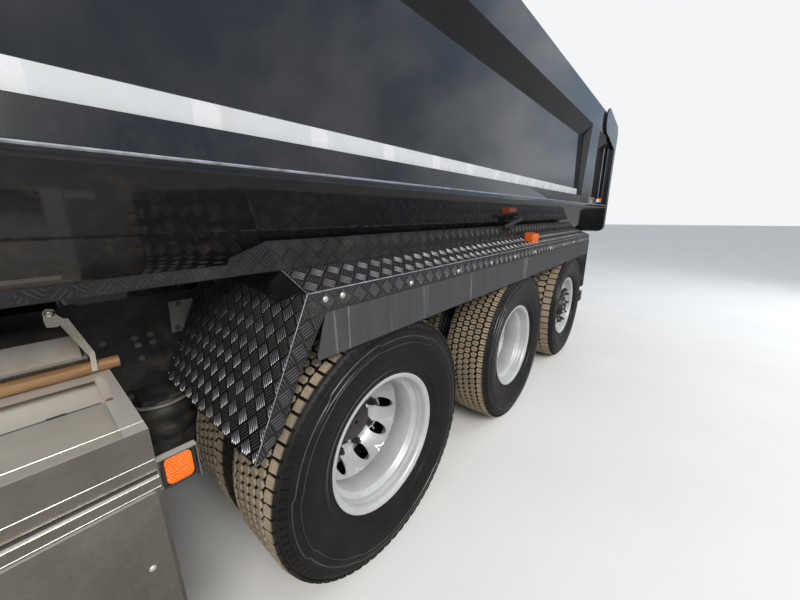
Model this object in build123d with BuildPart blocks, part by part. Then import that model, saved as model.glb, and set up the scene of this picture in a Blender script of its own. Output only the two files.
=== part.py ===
from build123d import *
from math import atan2, cos, degrees, hypot, radians, sin
import os

# Four-axle dump truck: one steered front axle, two drive axles on dual tyres and a
# steered single-tyre rear axle. Millimetres, +X forward, +Y left, +Z up, origin on the
# ground below the middle of the vehicle.

# Axles and tyres
FRONT_AXLE_X = 3150.0
DRIVE_1_X = -450.0
DRIVE_2_X = -1815.0
TAG_X = -3205.0
TYRE_R = 538.0
TYRE_W = 312.0
TREAD_W = 268.0
WIDEST_DROP = 108.0
SHOULDER_DROP = 23.0
RIM_SEAT_R = 286.0
RIM_FLANGE_R = 298.5
RIM_WELL_R = 252.0
RIM_W = 229.0
RIM_T = 9.0
FLANGE_T = 12.0
SEAT_L = 45.0
DISC_OFFSET = 175.0
DISC_T = 14.0
DISC_FLAT_R = 190.0
DUAL_DISC_Y = 935.0
FRONT_TYRE_Y = 1040.0
FRONT_KINGPIN_Y = 920.0
TAG_TYRE_Y = 1062.0
TAG_TYRE_W = 385.0
TAG_TREAD_W = 320.0
TAG_RIM_W = 298.0
TAG_DISC_OFFSET = 120.0
TAG_KINGPIN_Y = 940.0
SPINDLE_R = 45.0
HALF_SHAFT_R = 50.0
HUB_R = 140.0
CAP_R = 88.0
DRUM_R = 205.0
HAND_HOLES = 10
HAND_HOLE_R = 26.0
HAND_HOLE_PCR = 214.0
FIT = 0.1
GAP = 5.0
SEAT = 0.3

# Ladder frame, which rides at a fixed height above the axles
FRAME_RISE = 492.0
RAIL_Y = 385.0
RAIL_FLANGE = 85.0
RAIL_H = 270.0
RAIL_T = 8.0
RAIL_TOP_Z = TYRE_R + FRAME_RISE
RAIL_Z = RAIL_TOP_Z - RAIL_H
RAIL_REAR_X = -4000.0
RAIL_FRONT_X = 4350.0
CROSS_H = 170.0
CROSS_W = 120.0
SUB_H = 120.0
SUB_FLANGE = 70.0
SUB_TOP_Z = RAIL_TOP_Z + SUB_H
SUB_FRONT_X = 2560.0
CONSOLE_T = 8.0
COUPLING_Z = RAIL_Z + 130.0
COUPLING_DY = 160.0
COUPLING_DZ = 100.0
COUPLING_HOLE_R = 10.5
COUPLING_T = 12.0
TOW_X = 4450.0
TOW_Z = RAIL_Z + 130.0
TOW_H = 80.0
TOW_W = 100.0
TOW_R = 20.0
SPRING_HALF = 800.0
SPRING_Y = 435.0
SPRING_W = 90.0
SPRING_T = 40.0
BAG_DX = 590.0
BAG_Y = 470.0
BAG_R = 108.0
BAG_FOOT = -68.0
DIFF_R = 210.0

# Dump body
HINGE_X = -3850.0
HINGE_Z = RAIL_TOP_Z + 70.0
HINGE_PIN_R = 35.0
FLOOR_Z = RAIL_TOP_Z + 250.0
HULL_Y = 1190.0
HULL_R = 316.0
HULL_T = 6.0
BODY_TOP_Z = FLOOR_Z + 1215.0
BODY_FRONT_X = 2150.0
BODY_REAR_X = -4430.0
HEAD_FOOT_X = 1930.0
HEADBOARD_Z = FLOOR_Z + 1520.0
HEADBOARD_T = 50.0
LEDGE_Y = 1275.0
LEDGE_Z = FLOOR_Z + 270.0
BEVEL_Y = 1220.0
BEVEL_Z = LEDGE_Z + 33.0
BAND_Y = 1212.0
BAND_Z = BEVEL_Z + 67.0
RAIL_OUT_Y = 1250.0
TOP_RAIL_Z = BODY_TOP_Z - 210.0
TOP_SLOPE_Z = TOP_RAIL_Z - 120.0
POST_X = -3450.0
POST_W = 380.0
POST_BEVEL = 50.0
POST_FOOT_Y = 1225.0
SILL_Z = SUB_TOP_Z + SEAT
SILL_BACK = 60.0
EAR_Y = 395.0
EAR_T = 30.0
TAIL_X = -4550.0
TAIL_GAP = 15.0
TAIL_SHEET = 12.0
GATE_PIVOT_X = -3930.0
GATE_PIVOT_Z = BODY_TOP_Z - 75.0
GATE_ARM_R = 125.0
GATE_ARM_T = 15.0
GATE_PIN_R = 28.0

# Lift cylinder, leaning back from its base to its eye
CYL_X = 2520.0
CYL_BASE_Z = RAIL_Z + 80.0
CYL_EYE_X = 2420.0
CYL_EYE_Z = FLOOR_Z + 1080.0
CYL_RADII = (98.0, 85.0, 72.0, 59.0, 46.0, 33.0)
CYL_WALL = 8.0
CYL_PIN_R = 40.0
EYE_PIN_R = 26.0
EYE_SLOT = 18.0
EYE_DRIFT = 115.0
BARREL_FOOT = 80.0
HEAD_DROP = 290.0
STAGE_STEP = 18.0
GLAND_L = 60.0
HOOK_Y = 45.0
HOOK_T = 30.0

# Fenders and side pieces
FENDER_Y = 1275.0
FENDER_Z = FLOOR_Z - 27.0
UPSTAND_Y = 1148.0
UPSTAND_FOOT_Z = FENDER_Z + 55.0
UPSTAND_TOP_Z = FENDER_Z + 142.0
UPSTAND_REAR_X = -3280.0
UPSTAND_FRONT_X = -50.0
STRIP_H = 32.0
STRIP_FRONT_X = 1650.0
FENDER_FRONT_X = -88.0
FENDER_REAR_X = -3670.0
PLATE_T = 5.0
LIP_H = 66.0
LIP_Z = FENDER_Z - LIP_H
SKIRT_H = 142.0
SKIRT_Z = LIP_Z - SKIRT_H
INNER_FENDER_Z = FENDER_Z - 63.0
INNER_FENDER_Y = 560.0
SLOPE_FOOT_X = 114.0
SLOPE_FOOT_Z = 824.0
SLOPE_IN_Y = 510.0
STAY = 50.0
FLAP_X = -3812.0
FLAP_T = 8.0

# Toolbox
TOOLBOX_REAR_X = 305.0
TOOLBOX_FRONT_X = 1605.0
TOOLBOX_Y = 1247.0
TOOLBOX_FACE_Y = 1262.0
TOOLBOX_IN_Y = 810.0
TOOLBOX_Z = 330.0
TOOLBOX_TOP_Z = 1040.0
TOOLBOX_WALL = 30.0
LEDGE_B_Z = 895.0
LEDGE_H = 26.0
GROOVE_H = 39.0
TRAY_Z = 985.0
TRAY_SEAM_Y = 935.0
TRAY_FLANGE = 40.0
SHEET_T = 4.0
SHELF_RISE = 37.7
SHELF_IN_Y = 600.0
LAMP_REAR_X = 228.0
LAMP_Z = 916.0
LAMP_W = 53.0
LAMP_H = 67.0
DOOR_T = 14.7
TOOL_PIN_R = 6.0
TOOL_PIN_Z = 338.0
TOOL_LUG_R = 11.0
TOOL_LUG_L = 40.0
HANDLE_R = 17.0

# Cab
CAB_REAR_X = 2650.0
CAB_FRONT_X = 4510.0
CAB_Y = 1245.0
CAB_FLOOR_Z = RAIL_TOP_Z + 170.0
CAB_ROOF_Z = CAB_FLOOR_Z + 1750.0
CAB_WALL = 40.0
CAB_LIP_Z = CAB_FLOOR_Z - 215.0
SCREEN_FOOT_Z = CAB_FLOOR_Z + 550.0
SCREEN_HEAD_X = 4390.0
SCREEN_HEAD_Z = CAB_ROOF_Z - 230.0
SCREEN_Z = CAB_FLOOR_Z + 1030.0
SCREEN_H = 800.0
SCREEN_W = 2160.0
TILT_X = 4450.0
TILT_Z = CAB_FLOOR_Z - 190.0
TILT_PIN_R = 18.0
DOOR_REAR_X = 3300.0
DOOR_FRONT_X = 4220.0
CAB_DOOR_Z = CAB_FLOOR_Z + 770.0
CAB_DOOR_H = 1460.0
CAB_DOOR_GAP = 8.0
PANE_H = 660.0
PANE_Z = CAB_DOOR_Z + 300.0
DOOR_PIN_X = 4206.0
DOOR_PIN_Y = 1240.0
DOOR_PIN_R = 4.0
DOOR_HINGE_Z = (CAB_DOOR_Z - 470.0, CAB_DOOR_Z + 510.0)
HINGE_LUG_H = 60.0
BUMPER_Z = 330.0
BUMPER_TOP_Z = 935.0
BUMPER_REAR_X = 4260.0
BUMPER_FRONT_X = 4550.0
BUMPER_T = 50.0
LAMP_FRONT_Y = 800.0
LAMP_FRONT_Z = 640.0
GUARD_R = 640.0
GUARD_Y = 620.0

os.makedirs("parts", exist_ok=True)


def save(part, label):
    part.label = label
    export_step(part, "parts/" + label + ".step")


# Ladder frame
CROSS_X = (
    RAIL_FRONT_X - 100, 1600.0, 700.0, DRIVE_1_X, (DRIVE_1_X + DRIVE_2_X) / 2, DRIVE_2_X,
    (DRIVE_2_X + TAG_X) / 2, TAG_X, RAIL_REAR_X + 100,
)
with BuildPart() as chassis_frame:
    for side in (1, -1):
        web = side * RAIL_Y
        lip = side * (RAIL_Y - RAIL_FLANGE)
        inner = side * (RAIL_Y - RAIL_T)
        with BuildSketch(Plane.YZ.offset(RAIL_REAR_X)):
            with BuildLine():
                Polyline(
                    (web, RAIL_Z), (web, RAIL_TOP_Z), (lip, RAIL_TOP_Z),
                    (lip, RAIL_TOP_Z - RAIL_T), (inner, RAIL_TOP_Z - RAIL_T),
                    (inner, RAIL_Z + RAIL_T), (lip, RAIL_Z + RAIL_T), (lip, RAIL_Z),
                    close=True,
                )
            make_face()
        extrude(amount=RAIL_FRONT_X - RAIL_REAR_X)
    for x in CROSS_X:
        with BuildSketch(Plane.XZ):
            with Locations((x, RAIL_TOP_Z - RAIL_T - CROSS_H / 2)):
                Rectangle(CROSS_W, CROSS_H)
                Rectangle(CROSS_W - 2 * RAIL_T, CROSS_H - 2 * RAIL_T, mode=Mode.SUBTRACT)
        extrude(amount=RAIL_Y - RAIL_T, both=True)
    with BuildSketch(Plane.XZ):
        with Locations((CYL_X, CYL_BASE_Z)):
            Circle(CYL_PIN_R)
    extrude(amount=RAIL_Y - RAIL_T, both=True)
    with BuildSketch(Plane.YZ.offset(RAIL_REAR_X)):
        with Locations((0, COUPLING_Z)):
            Rectangle(2 * RAIL_Y - 2 * RAIL_T, 2 * COUPLING_DZ)
            with GridLocations(COUPLING_DY, COUPLING_DZ, 2, 2):
                Circle(COUPLING_HOLE_R, mode=Mode.SUBTRACT)
    extrude(amount=COUPLING_T)
    rest_h = CAB_FLOOR_Z - SEAT - RAIL_TOP_Z
    for side in (1, -1):
        with Locations((CAB_REAR_X + 150, side * (RAIL_Y - RAIL_T * 5), RAIL_TOP_Z + rest_h / 2)):
            Box(90, RAIL_FLANGE - GAP, rest_h)
    for side in (1, -1):
        with BuildSketch(Plane.XZ.offset(-side * (RAIL_Y - 20))):
            with Locations(((RAIL_FRONT_X - 150 + TILT_X) / 2, TILT_Z)):
                Rectangle(TILT_X - RAIL_FRONT_X + 150, 50)
            with Locations((TILT_X, TILT_Z)):
                Circle(25)
        extrude(amount=-side * 20.0)
        with BuildSketch(Plane.XZ.offset(-side * 290.0)):
            with Locations((TILT_X, TILT_Z)):
                Circle(TILT_PIN_R)
        extrude(amount=-side * 90.0)
save(chassis_frame.part, "chassis_frame")

# Front towing jaw with its pin's bore
tow_rear = CROSS_X[0] + CROSS_W / 2
tow_front = TOW_X + TOW_W / 2 - GAP
with BuildPart() as tow_jaw:
    with BuildSketch(Plane.XY.offset(TOW_Z - TOW_H / 2)):
        with Locations(((tow_rear + tow_front) / 2, 0)):
            Rectangle(tow_front - tow_rear, TOW_W)
        with Locations((TOW_X, 0)):
            Circle(TOW_R, mode=Mode.SUBTRACT)
    extrude(amount=TOW_H)
save(tow_jaw.part, "tow_jaw")

# Subframe with the body's hinge shaft and its bolted consoles
with BuildPart() as subframe:
    for side in (1, -1):
        web = side * RAIL_Y
        lip = side * (RAIL_Y - SUB_FLANGE)
        inner = side * (RAIL_Y - RAIL_T)
        with BuildSketch(Plane.YZ.offset(RAIL_REAR_X)):
            with BuildLine():
                Polyline(
                    (web, RAIL_TOP_Z), (web, SUB_TOP_Z), (lip, SUB_TOP_Z),
                    (lip, SUB_TOP_Z - RAIL_T), (inner, SUB_TOP_Z - RAIL_T),
                    (inner, RAIL_TOP_Z + RAIL_T), (lip, RAIL_TOP_Z + RAIL_T), (lip, RAIL_TOP_Z),
                    close=True,
                )
            make_face()
        extrude(amount=SUB_FRONT_X - RAIL_REAR_X)
        for x in (-10.0, 950.0, 1900.0):
            with BuildSketch(Plane.XZ.offset(-side * RAIL_Y)):
                with BuildLine():
                    Polyline(
                        (x - 50, RAIL_TOP_Z + 72), (x + 51, RAIL_TOP_Z + 72),
                        (x + 49, RAIL_TOP_Z - 58), (x + 1, RAIL_TOP_Z - 58), close=True,
                    )
                make_face()
            extrude(amount=-side * CONSOLE_T)
    for x in (2100.0, 900.0, -300.0, -1500.0, -2700.0):
        with BuildSketch(Plane.XZ):
            with Locations((x, RAIL_TOP_Z + SUB_H / 2)):
                Rectangle(80, SUB_H - 2 * RAIL_T)
        extrude(amount=RAIL_Y - RAIL_T, both=True)
    with BuildSketch(Plane.XZ):
        with Locations((HINGE_X, HINGE_Z)):
            Circle(HINGE_PIN_R)
    extrude(amount=EAR_Y + EAR_T + 20, both=True)
save(subframe.part, "subframe")

# Front axle beam with its leaf springs
with BuildPart() as front_suspension:
    with BuildSketch(Plane.YZ.offset(FRONT_AXLE_X - 45)):
        with BuildLine():
            Polyline(
                (-870, TYRE_R - 68), (-700, TYRE_R - 98), (-560, TYRE_R - 138),
                (560, TYRE_R - 138), (700, TYRE_R - 98), (870, TYRE_R - 68),
                (870, TYRE_R + 62), (700, TYRE_R + 22), (560, TYRE_R - 48),
                (-560, TYRE_R - 48), (-700, TYRE_R + 22), (-870, TYRE_R + 62),
                close=True,
            )
        make_face()
    extrude(amount=90)
    rear_eye = FRONT_AXLE_X - SPRING_HALF
    front_eye = FRONT_AXLE_X + SPRING_HALF
    for side in (1, -1):
        with Locations((FRONT_AXLE_X, side * FRONT_KINGPIN_Y, TYRE_R)):
            Cylinder(55, 150)
            Cylinder(25 + FIT, 150, mode=Mode.SUBTRACT)
        with BuildSketch(Plane.XZ.offset(-side * (SPRING_Y - SPRING_W / 2))):
            with BuildLine():
                a = ThreePointArc(
                    (rear_eye, RAIL_Z - 15), (FRONT_AXLE_X, TYRE_R - 48), (front_eye, RAIL_Z - 15)
                )
                b = ThreePointArc(
                    (rear_eye, RAIL_Z - 15 + SPRING_T), (FRONT_AXLE_X, TYRE_R - 48 + SPRING_T + 5),
                    (front_eye, RAIL_Z - 15 + SPRING_T),
                )
                Line(a @ 0, b @ 0)
                Line(a @ 1, b @ 1)
            make_face()
        extrude(amount=-side * SPRING_W)
        for x in (rear_eye, front_eye):
            with Locations((x, side * SPRING_Y, RAIL_Z + 10)):
                Box(70, SPRING_W + 10, 130)
save(front_suspension.part, "front_suspension")

# Drive axle housings with their suspension arms
with BuildPart() as drive_axles:
    for x in (DRIVE_1_X, DRIVE_2_X):
        with BuildSketch(Plane.YZ.offset(x)):
            with BuildLine():
                Polyline(
                    (-1000, TYRE_R), (-1000, TYRE_R + HALF_SHAFT_R), (-650, TYRE_R + HALF_SHAFT_R),
                    (-650, TYRE_R + 75), (-330, TYRE_R + 85), (-150, TYRE_R + DIFF_R),
                    (150, TYRE_R + DIFF_R), (330, TYRE_R + 85), (650, TYRE_R + 75),
                    (650, TYRE_R + HALF_SHAFT_R), (1000, TYRE_R + HALF_SHAFT_R), (1000, TYRE_R),
                    close=True,
                )
            make_face()
        revolve(axis=Axis((x, 0, TYRE_R), (0, 1, 0)))
        arm_z = TYRE_R + BAG_FOOT
        for side in (1, -1):
            with BuildSketch(Plane.XZ.offset(-side * BAG_Y)):
                with BuildLine():
                    Polyline(
                        (x - BAG_DX - 70, arm_z), (x - BAG_DX - 70, arm_z - 25),
                        (x - 200, arm_z - 75), (x + 200, arm_z - 75),
                        (x + BAG_DX + 70, arm_z - 25), (x + BAG_DX + 70, arm_z),
                        close=True,
                    )
                make_face()
            extrude(amount=50, both=True)
save(drive_axles.part, "drive_axles")

with BuildPart() as air_bellows:
    for x in (DRIVE_1_X, DRIVE_2_X):
        for dx in (-BAG_DX, BAG_DX):
            for side in (1, -1):
                foot = TYRE_R + BAG_FOOT
                with BuildSketch(Plane.XZ.offset(-side * BAG_Y)):
                    with BuildLine():
                        Polyline(
                            (x + dx, foot), (x + dx + 70, foot), (x + dx + 82, foot + 90),
                            (x + dx + BAG_R, foot + 120), (x + dx + BAG_R, RAIL_Z - 55),
                            (x + dx + 84, RAIL_Z - 15), (x + dx, RAIL_Z - 15),
                            close=True,
                        )
                    make_face()
                revolve(axis=Axis((x + dx, side * BAG_Y, 0), (0, 0, 1)))
                with Locations((x + dx, side * (BAG_Y - 30), RAIL_Z - 7.5)):
                    Box(150, 220, 15)
save(air_bellows.part, "air_bellows")

with BuildPart() as tag_axle:
    with BuildSketch(Plane.YZ.offset(TAG_X - 50)):
        with BuildLine():
            Polyline(
                (-885, TYRE_R - 68), (-640, TYRE_R - 108), (640, TYRE_R - 108),
                (885, TYRE_R - 68), (885, TYRE_R + 67), (640, TYRE_R + 2),
                (-640, TYRE_R + 2), (-885, TYRE_R + 67),
                close=True,
            )
        make_face()
    extrude(amount=100)
    for side in (1, -1):
        with Locations((TAG_X, side * TAG_KINGPIN_Y, TYRE_R)):
            Cylinder(55, 150)
            Cylinder(25 + FIT, 150, mode=Mode.SUBTRACT)
        with BuildSketch(Plane.XY.offset(TYRE_R + 2)):
            with Locations((TAG_X, side * BAG_Y)):
                Circle(BAG_R)
        extrude(amount=RAIL_Z - TYRE_R - 2)
save(tag_axle.part, "tag_axle")

# Engine, gearbox and shafts
GEARBOX_REAR_X = 2640.0
ENGINE_REAR_X = 2950.0
ENGINE_L = 1180.0
SHAFT_R = 55.0
with BuildPart() as powertrain:
    with BuildSketch(Plane.YZ.offset(ENGINE_REAR_X)):
        with BuildLine():
            Polyline(
                (-200, RAIL_Z - 200), (200, RAIL_Z - 200), (280, RAIL_Z - 60),
                (280, RAIL_TOP_Z + 10), (160, RAIL_TOP_Z + 120), (-160, RAIL_TOP_Z + 120),
                (-280, RAIL_TOP_Z + 10), (-280, RAIL_Z - 60),
                close=True,
            )
        make_face()
    extrude(amount=ENGINE_L)
    gearbox_l = ENGINE_REAR_X - GEARBOX_REAR_X
    with Locations(Location((GEARBOX_REAR_X + gearbox_l / 2, 0, RAIL_Z - 100), (0, 90, 0))):
        Cone(130, 200, gearbox_l)
    shaft_rear = DRIVE_1_X + DIFF_R + SEAT
    with Locations(Location(((shaft_rear + GEARBOX_REAR_X) / 2, 0, TYRE_R + 60), (0, 90, 0))):
        Cylinder(SHAFT_R, GEARBOX_REAR_X - shaft_rear)
    with Locations(Location(((DRIVE_1_X + DRIVE_2_X) / 2, 0, TYRE_R), (0, 90, 0))):
        Cylinder(SHAFT_R - 10, DRIVE_1_X - DRIVE_2_X - 2 * DIFF_R - 2 * SEAT)
save(powertrain.part, "powertrain")

# Fuel tank, air tanks and silencer box
TANK_Z = RAIL_Z - 30.0
TANK_REAR_X = 350.0
with BuildPart() as side_tanks:
    with BuildSketch(Plane.YZ.offset(TANK_REAR_X)):
        with Locations((-840, TANK_Z)):
            RectangleRounded(720, 620, 110)
    extrude(amount=1950)
    for x in (700.0, 1900.0):
        with Locations((x, -(RAIL_Y + 480) / 2, RAIL_Z + 90)):
            Box(80, 480 - RAIL_Y, 140)
    with BuildSketch(Plane.YZ.offset(1700)):
        with Locations((840, TANK_Z)):
            RectangleRounded(640, 560, 60)
    extrude(amount=700)
    with Locations((2000, (RAIL_Y + 520) / 2, RAIL_Z + 90)):
        Box(80, 520 - RAIL_Y, 140)
    for y in (-140.0, 140.0):
        with Locations(Location((1150, y, RAIL_Z + 140), (0, 90, 0))):
            Cylinder(105, 900 - CROSS_W)
save(side_tanks.part, "side_tanks")

# Toolbox of folded sheet: drop door, two outer ledges with a groove between them, an open
# tray of two sloping sheets on top, a lamp bracket, a shelf and a bent tool stay
BOX_L = TOOLBOX_FRONT_X - TOOLBOX_REAR_X
BOX_X = (TOOLBOX_FRONT_X + TOOLBOX_REAR_X) / 2
GROOVE_Z = LEDGE_B_Z + LEDGE_H
LEDGE_A_Z = GROOVE_Z + GROOVE_H
TOOL_PIN_Y = TOOLBOX_Y + SEAT + DOOR_T / 2
TOOL_LUG_X = (TOOLBOX_REAR_X + 80, BOX_X, TOOLBOX_FRONT_X - 80)
with BuildPart() as toolbox:
    with BuildSketch(Plane.YZ.offset(TOOLBOX_REAR_X)):
        with BuildLine():
            Polyline(
                (TOOLBOX_IN_Y, TOOLBOX_Z), (TOOLBOX_Y, TOOLBOX_Z),
                (TOOLBOX_Y, LEDGE_B_Z), (TOOLBOX_FACE_Y, LEDGE_B_Z),
                (TOOLBOX_FACE_Y, GROOVE_Z), (TOOLBOX_Y, GROOVE_Z),
                (TOOLBOX_Y, LEDGE_A_Z), (TOOLBOX_FACE_Y, LEDGE_A_Z + 6),
                (TOOLBOX_FACE_Y, TOOLBOX_TOP_Z), (TOOLBOX_IN_Y, TOOLBOX_TOP_Z),
                close=True,
            )
        make_face()
    extrude(amount=BOX_L)
    inside_y = TOOLBOX_IN_Y + TOOLBOX_WALL
    with Locations((BOX_X, (inside_y + TOOLBOX_Y) / 2 + 10, (TOOLBOX_Z + LEDGE_B_Z) / 2)):
        Box(
            BOX_L - 2 * TOOLBOX_WALL, TOOLBOX_Y - inside_y + 20,
            LEDGE_B_Z - TOOLBOX_Z - 2 * TOOLBOX_WALL, mode=Mode.SUBTRACT,
        )
    for x_from, z_low, z_high in (
        (GAP, TRAY_Z, TOOLBOX_TOP_Z - SHEET_T),
        (TRAY_FLANGE, TOOLBOX_TOP_Z - SHEET_T - 1, TOOLBOX_TOP_Z),
    ):
        with BuildSketch(Plane.YZ.offset(TOOLBOX_REAR_X + x_from)):
            with BuildLine():
                Polyline(
                    (TOOLBOX_IN_Y + SHEET_T, z_high), (TOOLBOX_IN_Y + SHEET_T, z_high - 2),
                    (TRAY_SEAM_Y, z_low), (TOOLBOX_FACE_Y - SHEET_T, z_low),
                    (TOOLBOX_FACE_Y - SHEET_T, z_high),
                    close=True,
                )
            make_face()
        extrude(amount=BOX_L - 2 * x_from, mode=Mode.SUBTRACT)
    for x in (600.0, 1300.0):
        with Locations((x, (RAIL_Y + TOOLBOX_IN_Y) / 2, RAIL_Z + 90)):
            Box(80, TOOLBOX_IN_Y - RAIL_Y, 140)
    shelf_z = TOOLBOX_TOP_Z + SHELF_RISE
    with BuildSketch(Plane.YZ.offset(TOOLBOX_REAR_X + 35)):
        with BuildLine():
            Polyline(
                (TOOLBOX_IN_Y + 2, TOOLBOX_TOP_Z - 10), (TOOLBOX_IN_Y - 2, TOOLBOX_TOP_Z - 10),
                (TOOLBOX_IN_Y - 2, shelf_z - SHEET_T), (SHELF_IN_Y, shelf_z - SHEET_T),
                (SHELF_IN_Y, shelf_z), (TOOLBOX_IN_Y + 2, shelf_z),
                close=True,
            )
        make_face()
    extrude(amount=330)
    with BuildSketch(Plane.XZ.offset(-TOOLBOX_IN_Y)):
        with BuildLine():
            Polyline(
                (TOOLBOX_REAR_X + 19, TOOLBOX_TOP_Z - 2), (TOOLBOX_REAR_X + 22, TOOLBOX_TOP_Z + 46),
                (TOOLBOX_REAR_X + 78, TOOLBOX_TOP_Z + 172), (TOOLBOX_REAR_X + 92, TOOLBOX_TOP_Z + 176),
                (TOOLBOX_REAR_X + 93, TOOLBOX_TOP_Z + 172), (TOOLBOX_REAR_X + 81, TOOLBOX_TOP_Z + 168),
                (TOOLBOX_REAR_X + 26, TOOLBOX_TOP_Z + 45), (TOOLBOX_REAR_X + 23, TOOLBOX_TOP_Z - 2),
                close=True,
            )
        make_face()
    extrude(amount=TRAY_FLANGE - 15)
    plate_y = TOOLBOX_Y - 3
    with BuildSketch(Plane.YZ.offset(LAMP_REAR_X)):
        with BuildLine():
            Polyline(
                (plate_y - 3, LAMP_Z - LAMP_H / 2 - 11), (plate_y, LAMP_Z - LAMP_H / 2 - 11),
                (plate_y, LAMP_Z + LAMP_H / 2 + 4), (TOOLBOX_FACE_Y, LAMP_Z + LAMP_H / 2 + 4),
                (TOOLBOX_FACE_Y, LAMP_Z + LAMP_H / 2 + 7), (plate_y - 3, LAMP_Z + LAMP_H / 2 + 7),
                close=True,
            )
        make_face()
    extrude(amount=TOOLBOX_REAR_X - LAMP_REAR_X)
    with Locations((LAMP_REAR_X + 1.5, (plate_y + TOOLBOX_FACE_Y) / 2, LAMP_Z - 2)):
        Box(3, TOOLBOX_FACE_Y - plate_y, LAMP_H + 18)
    for x in TOOL_LUG_X:
        with Locations(Location((x, TOOL_PIN_Y, TOOL_PIN_Z), (0, 90, 0))):
            Cylinder(TOOL_LUG_R, TOOL_LUG_L)
            Cylinder(TOOL_PIN_R + FIT, TOOL_LUG_L, mode=Mode.SUBTRACT)
save(toolbox.part, "toolbox")

with BuildPart() as toolbox_door:
    door_z = TOOL_PIN_Z + 14
    door_h = LEDGE_B_Z - 7 - door_z
    with BuildSketch(Plane.XZ.offset(-TOOLBOX_Y - SEAT)):
        with Locations((BOX_X, door_z + door_h / 2)):
            RectangleRounded(BOX_L - 20, door_h, 8)
    extrude(amount=-DOOR_T)
    with Locations((BOX_X, TOOL_PIN_Y, TOOL_PIN_Z + 7.5)):
        Box(BOX_L - 60, 2 * TOOL_PIN_R, 15)
    for x in TOOL_LUG_X:
        with Locations((x, TOOL_PIN_Y, TOOL_PIN_Z)):
            Box(TOOL_LUG_L + 6, 4 * TOOL_PIN_R, 2 * TOOL_LUG_R + 5, mode=Mode.SUBTRACT)
    with Locations(Location((BOX_X, TOOL_PIN_Y, TOOL_PIN_Z), (0, 90, 0))):
        Cylinder(TOOL_PIN_R, BOX_L - 60)
save(toolbox_door.part, "toolbox_door")

# Scoop-shaped shovel blade lying on the shelf, and a handle across the tray's flanges
BLADE_T = 3.0
with BuildPart() as shovel:
    with BuildSketch(Plane.YZ.offset(TOOLBOX_REAR_X + 45)):
        with BuildLine():
            Polyline(
                (790, shelf_z + SEAT), (760, shelf_z + 60), (690, shelf_z + 84),
                (636, shelf_z + 60), (610, shelf_z + SEAT), (610 + BLADE_T, shelf_z + SEAT),
                (639, shelf_z + 57), (690, shelf_z + 80), (757, shelf_z + 57),
                (790 - BLADE_T, shelf_z + SEAT),
                close=True,
            )
        make_face()
    extrude(amount=300)
    with BuildSketch(Plane.XZ):
        with BuildLine():
            Polyline(
                (TOOLBOX_REAR_X + 240, shelf_z + 100), (TOOLBOX_REAR_X + 346, shelf_z + 100),
                (TOOLBOX_REAR_X + 346, shelf_z + 30),
                close=True,
            )
        make_face()
    extrude(amount=-900, mode=Mode.SUBTRACT)
save(shovel.part, "shovel")

with BuildPart() as shovel_handle:
    handle_z = TOOLBOX_TOP_Z + SEAT + HANDLE_R
    with Locations(Location((BOX_X - 20, TOOLBOX_IN_Y + 30, handle_z), (0, 90, 0))):
        Cylinder(HANDLE_R, BOX_L + 10)
save(shovel_handle.part, "shovel_handle")

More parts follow.
